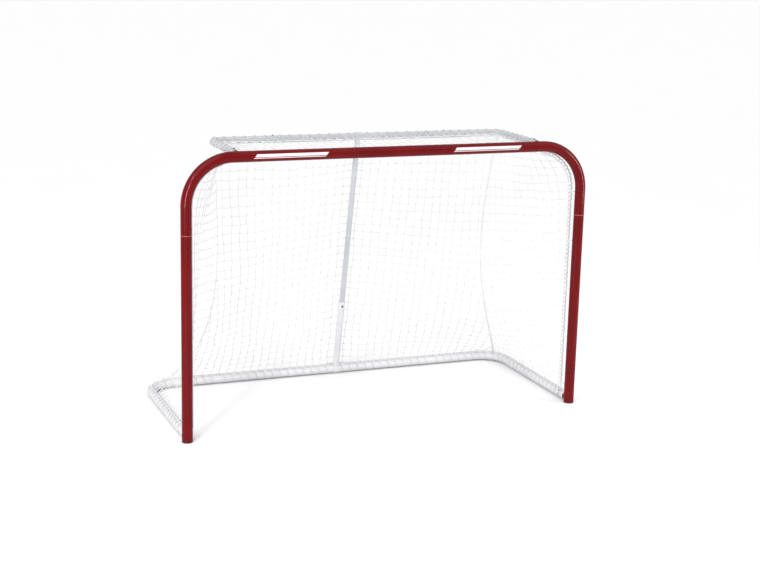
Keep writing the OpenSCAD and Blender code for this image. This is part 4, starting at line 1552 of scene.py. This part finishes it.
@dataclass
class Studio:
    """The pale floor, the soft lights and the camera."""

    camera_at: tuple[float, float, float] = (-2.4672, -6.3569, 2.1728)
    yaw: float = 21.660
    pitch: float = 13.182
    roll: float = 1.316
    lens: float = 70.10
    shift: tuple[float, float] = (0.0125, -0.00987)
    floor_half: float = 80.0
    room: float = 0.645
    floor_tone: Colour = (0.75, 0.75, 0.754)
    floor_other_tone: Colour = (0.77, 0.77, 0.774)
    softbox_size: tuple[float, float] = (0.35, 1.2)

    def camera(self) -> None:
        """Places the camera.

        It looks along (sin yaw * cos pitch, cos yaw * cos pitch, -sin pitch), and is rolled about that.
        """
        yaw, pitch, roll = (math.radians(a) for a in (self.yaw, self.pitch, self.roll))
        forward = Vector((math.sin(yaw) * math.cos(pitch), math.cos(yaw) * math.cos(pitch), -math.sin(pitch)))
        level = Vector((math.cos(yaw), -math.sin(yaw), 0))
        upright = level.cross(forward)
        right = math.cos(roll) * level + math.sin(roll) * upright
        up = -math.sin(roll) * level + math.cos(roll) * upright
        data = bpy.data.cameras.new("camera")
        data.lens = self.lens
        data.sensor_width = 36.0
        data.shift_x, data.shift_y = self.shift
        data.clip_end = 400.0
        obj = bpy.data.objects.new("camera", data)
        turn = Matrix((right, up, -forward)).transposed().to_4x4()
        obj.matrix_world = Matrix.Translation(self.camera_at) @ turn
        bpy.context.scene.collection.objects.link(obj)
        bpy.context.scene.camera = obj

    def floor(self) -> None:
        """Lays the floor: a flat grid with a faint mottle."""
        out = Surface()
        n = 9
        x, y = np.meshgrid(np.linspace(-1, 1, n), np.linspace(-1, 1, n), indexing="ij")
        verts = np.stack([x, y, np.zeros_like(x)], -1) * self.floor_half
        i, j = np.meshgrid(np.arange(n - 1) * n, np.arange(n - 1), indexing="ij")
        quads = np.stack([i + j, i + n + j, i + n + j + 1, i + j + 1], -1).reshape(-1, 4)
        out.add(verts, quads, np.zeros((len(quads), 4, 2)))
        obj = out.build("floor")
        material, nodes, shader = Finish.start("floor_finish")
        pos = nodes.add("ShaderNodeTexCoord").outputs["Object"]
        mottle = nodes.noise(pos, 1.3, 4.0)
        colour = nodes.mix(mottle, rgba(self.floor_tone), rgba(self.floor_other_tone))
        nodes.feed(shader.inputs["Base Color"], colour)
        shader.inputs["Roughness"].default_value = 0.9
        shader.inputs["Specular IOR Level"].default_value = 0.1
        obj.data.materials.append(material)

    def light(self, name: str, azimuth: float, height: float, strength: float, spread: float) -> None:
        """Adds a far, wide light.

        Args:
            name: its name.
            azimuth: the direction that it comes from, in degrees from the front to the right.
            height: degrees above the floor.
            strength: its strength.
            spread: how wide it looks, in degrees.
        """
        data = bpy.data.lights.new(name, "SUN")
        data.energy = strength
        data.angle = math.radians(spread)
        obj = bpy.data.objects.new(name, data)
        a, h = math.radians(azimuth), math.radians(height)
        source = Vector((math.sin(a) * math.cos(h), -math.cos(a) * math.cos(h), math.sin(h)))
        obj.rotation_euler = source.to_track_quat("Z", "Y").to_euler()
        bpy.context.scene.collection.objects.link(obj)

    def softbox(self, name: str, at: Sequence[float], aim: Sequence[float], power: float) -> None:
        """Adds a tall soft light that stands near the goal.

        Args:
            name: its name.
            at: where it stands.
            aim: the place that it faces.
            power: its power in watts.
        """
        data = bpy.data.lights.new(name, "AREA")
        data.shape = "RECTANGLE"
        data.size, data.size_y = self.softbox_size
        data.energy = power
        obj = bpy.data.objects.new(name, data)
        obj.location = at
        obj.rotation_euler = (Vector(at) - Vector(aim)).to_track_quat("Z", "Y").to_euler()
        bpy.context.scene.collection.objects.link(obj)

    def surroundings(self) -> None:
        """Makes the white backdrop, and a dimmer grey room for everything that it lights."""
        world = bpy.data.worlds.new("studio")
        world.use_nodes = True
        nodes = Nodes(world.node_tree)
        shader = world.node_tree.nodes["Background"]
        seen = nodes.add("ShaderNodeLightPath").outputs["Is Camera Ray"]
        nodes.feed(shader.inputs["Color"], (1.0, 1.0, 1.0, 1.0))
        nodes.feed(shader.inputs["Strength"], nodes.math("MULTIPLY_ADD", seen, 1 - self.room, self.room))
        bpy.context.scene.world = world
        bpy.context.scene.view_settings.view_transform = "Standard"

    def dress(self) -> None:
        """Makes the whole studio."""
        self.floor()
        self.surroundings()
        self.light("key", -50, 50, 1.5, 60)
        self.light("glint", -52, 30, 0.5, 7)
        self.light("fill", 60, 40, 0.6, 60)
        self.light("rear", 170, 60, 0.35, 60)
        self.softbox("left_box", (-2.4, -2.3, 1.2), (-0.95, -0.4, 0.9), 46.0)
        self.softbox("right_box", (2.5, -1.7, 1.2), (0.95, -0.4, 0.9), 30.0)
        self.camera()


# ---------------------------------------------------------------- all together

def finishes(fx: Effects) -> dict[str, bpy.types.Material]:
    """Makes the finish of every material slot but the labels'.

    Args:
        fx: the shared effects.

    Returns:
        The materials by slot.
    """
    made = {
        "red_paint": Paint(name="red_powder_coat", tone=(0.120, 0.0013, 0.0026),
                           other_tone=(0.098, 0.0010, 0.0022), scuff=(0.075, 0.012, 0.012),
                           grime=(0.03, 0.02, 0.018), roughness=0.26, specular=0.05, coat=0.20,
                           scuff_amount=0.75, grime_height=0.03, grime_amount=0.6),
        "white_paint": Paint(name="white_enamel", tone=(0.62, 0.62, 0.635), other_tone=(0.58, 0.58, 0.595),
                             scuff=(0.27, 0.26, 0.25), grime=(0.19, 0.18, 0.17), roughness=0.34, specular=0.3,
                             coat=0.25, scuff_amount=0.75, grime_height=0.05, grime_amount=0.12),
        # painted shade: a darker grey copy of the white enamel, for the shade on the shelf rails and the
        # upper support
        "white_paint_painted_shade": Paint(name="shelf_enamel_painted_shade", tone=(0.44, 0.45, 0.47), other_tone=(0.40, 0.41, 0.43),
                             scuff=(0.24, 0.23, 0.22), grime=(0.19, 0.18, 0.17), roughness=0.34, specular=0.3,
                             coat=0.25, scuff_amount=0.75, grime_height=0.05, grime_amount=0.0),
        # rubbed paint and painted highlight: the rims' lighter red stands for worn paint and for the
        # highlight on the tube ends
        "rim_wear_and_highlight": Paint(name="rubbed_edge_and_painted_highlight", tone=(0.38, 0.11, 0.11), other_tone=(0.26, 0.05, 0.05),
                           scuff=(0.45, 0.40, 0.40), grime=(0.03, 0.02, 0.018), roughness=0.22, specular=0.5,
                           coat=0.4, scuff_amount=1.0, grime_height=0.03, grime_amount=0.0),
        "label_film": Moulded("label_backing", (0.112, 0.0012, 0.0024)),
        "zinc_steel": Plated("zinc_plate", (0.62, 0.63, 0.65), (0.33, 0.32, 0.30), 0.30),
        "dark_fasteners": Plated("blackened_steel", (0.05, 0.048, 0.048), (0.10, 0.06, 0.045), 0.35),
        "black_plastic": Moulded("black_plastic", (0.016, 0.016, 0.018)),
        # the second colour of each cord is its painted valley shade, mixed with a slow drift of whiteness
        "net_twine": Twine("net_twine_braid", (0.74, 0.74, 0.75), (0.62, 0.62, 0.63), 3.0, 160.0),
        "lacing_cord": Twine("lacing_cord_braid", (0.58, 0.58, 0.59), (0.44, 0.44, 0.45), 4.0, 130.0),
    }
    return {slot: finish.material(fx) for slot, finish in made.items()}


def label_finishes(fx: Effects, layout: Layout) -> dict[str, bpy.types.Material]:
    """Makes the finish of each label, which is centred on it.

    Args:
        fx: the shared effects.
        layout: the goal's layout.

    Returns:
        The materials by node.
    """
    made = {}
    for side in Side:
        name = f"{side.name.lower()}_label"
        low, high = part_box(name)
        label = StripedLabel(name=f"{name}_film", centre_x=(low.x + high.x) / 2, length=high.x - low.x,
                             axis_y=layout.goal_y, axis_z=layout.bar_z, radius=layout.post_r,
                             ground=(0.112, 0.0012, 0.0024), ink=(0.62, 0.60, 0.60))
        made[name] = label.material(fx)
    return made


def lace_lines(layout: Layout) -> tuple[LaceBar, tuple[float, float, float]]:
    """Reads the lace bars' lines from the frame's lacing nodes.

    Returns:
        The right-hand bar, and the top bar's half length, y and z.
    """
    low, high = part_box("right_post_lacing")
    sleeve = (high.y - low.y) / 2
    x, y = high.x - sleeve, (high.y + low.y) / 2
    bar_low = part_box("right_lace_bar")[0]
    side = LaceBar(x, y, bar_low.z, layout.straight_x, layout.bar_z - layout.bend_r, x - layout.straight_x,
                   math.radians(80))
    top_low, top_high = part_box("top_lace_bar")
    lace_low, lace_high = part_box("crossbar_lacing")
    return side, (top_high.x, (lace_low.y + lace_high.y) / 2, (lace_low.z + lace_high.z) / 2)


def main() -> None:
    """Builds the goal's pieces in order, dresses the frame's nodes and sets the studio."""
    logging.basicConfig(level=logging.INFO, format="%(name)s: %(message)s")
    layout = Layout.read()
    fx = Effects()
    materials = finishes(fx)
    bar, top = lace_lines(layout)
    Metalwork(materials, label_finishes(fx, layout)).dress()
    net = Netting(layout, bar, top)
    net.dress(materials["net_twine"], materials["lacing_cord"])
    Lacing(layout, net).dress(materials["lacing_cord"])
    place(Welds(layout).build(bar), materials["red_paint"], "red_paint")
    place(JointEdges(layout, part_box("right_post")[1].z).build(), materials["rim_wear_and_highlight"], "red_paint")
    LeafSpring(layout).dress(materials["zinc_steel"])
    Studio().dress()


if __name__ == "__main__":
    main()
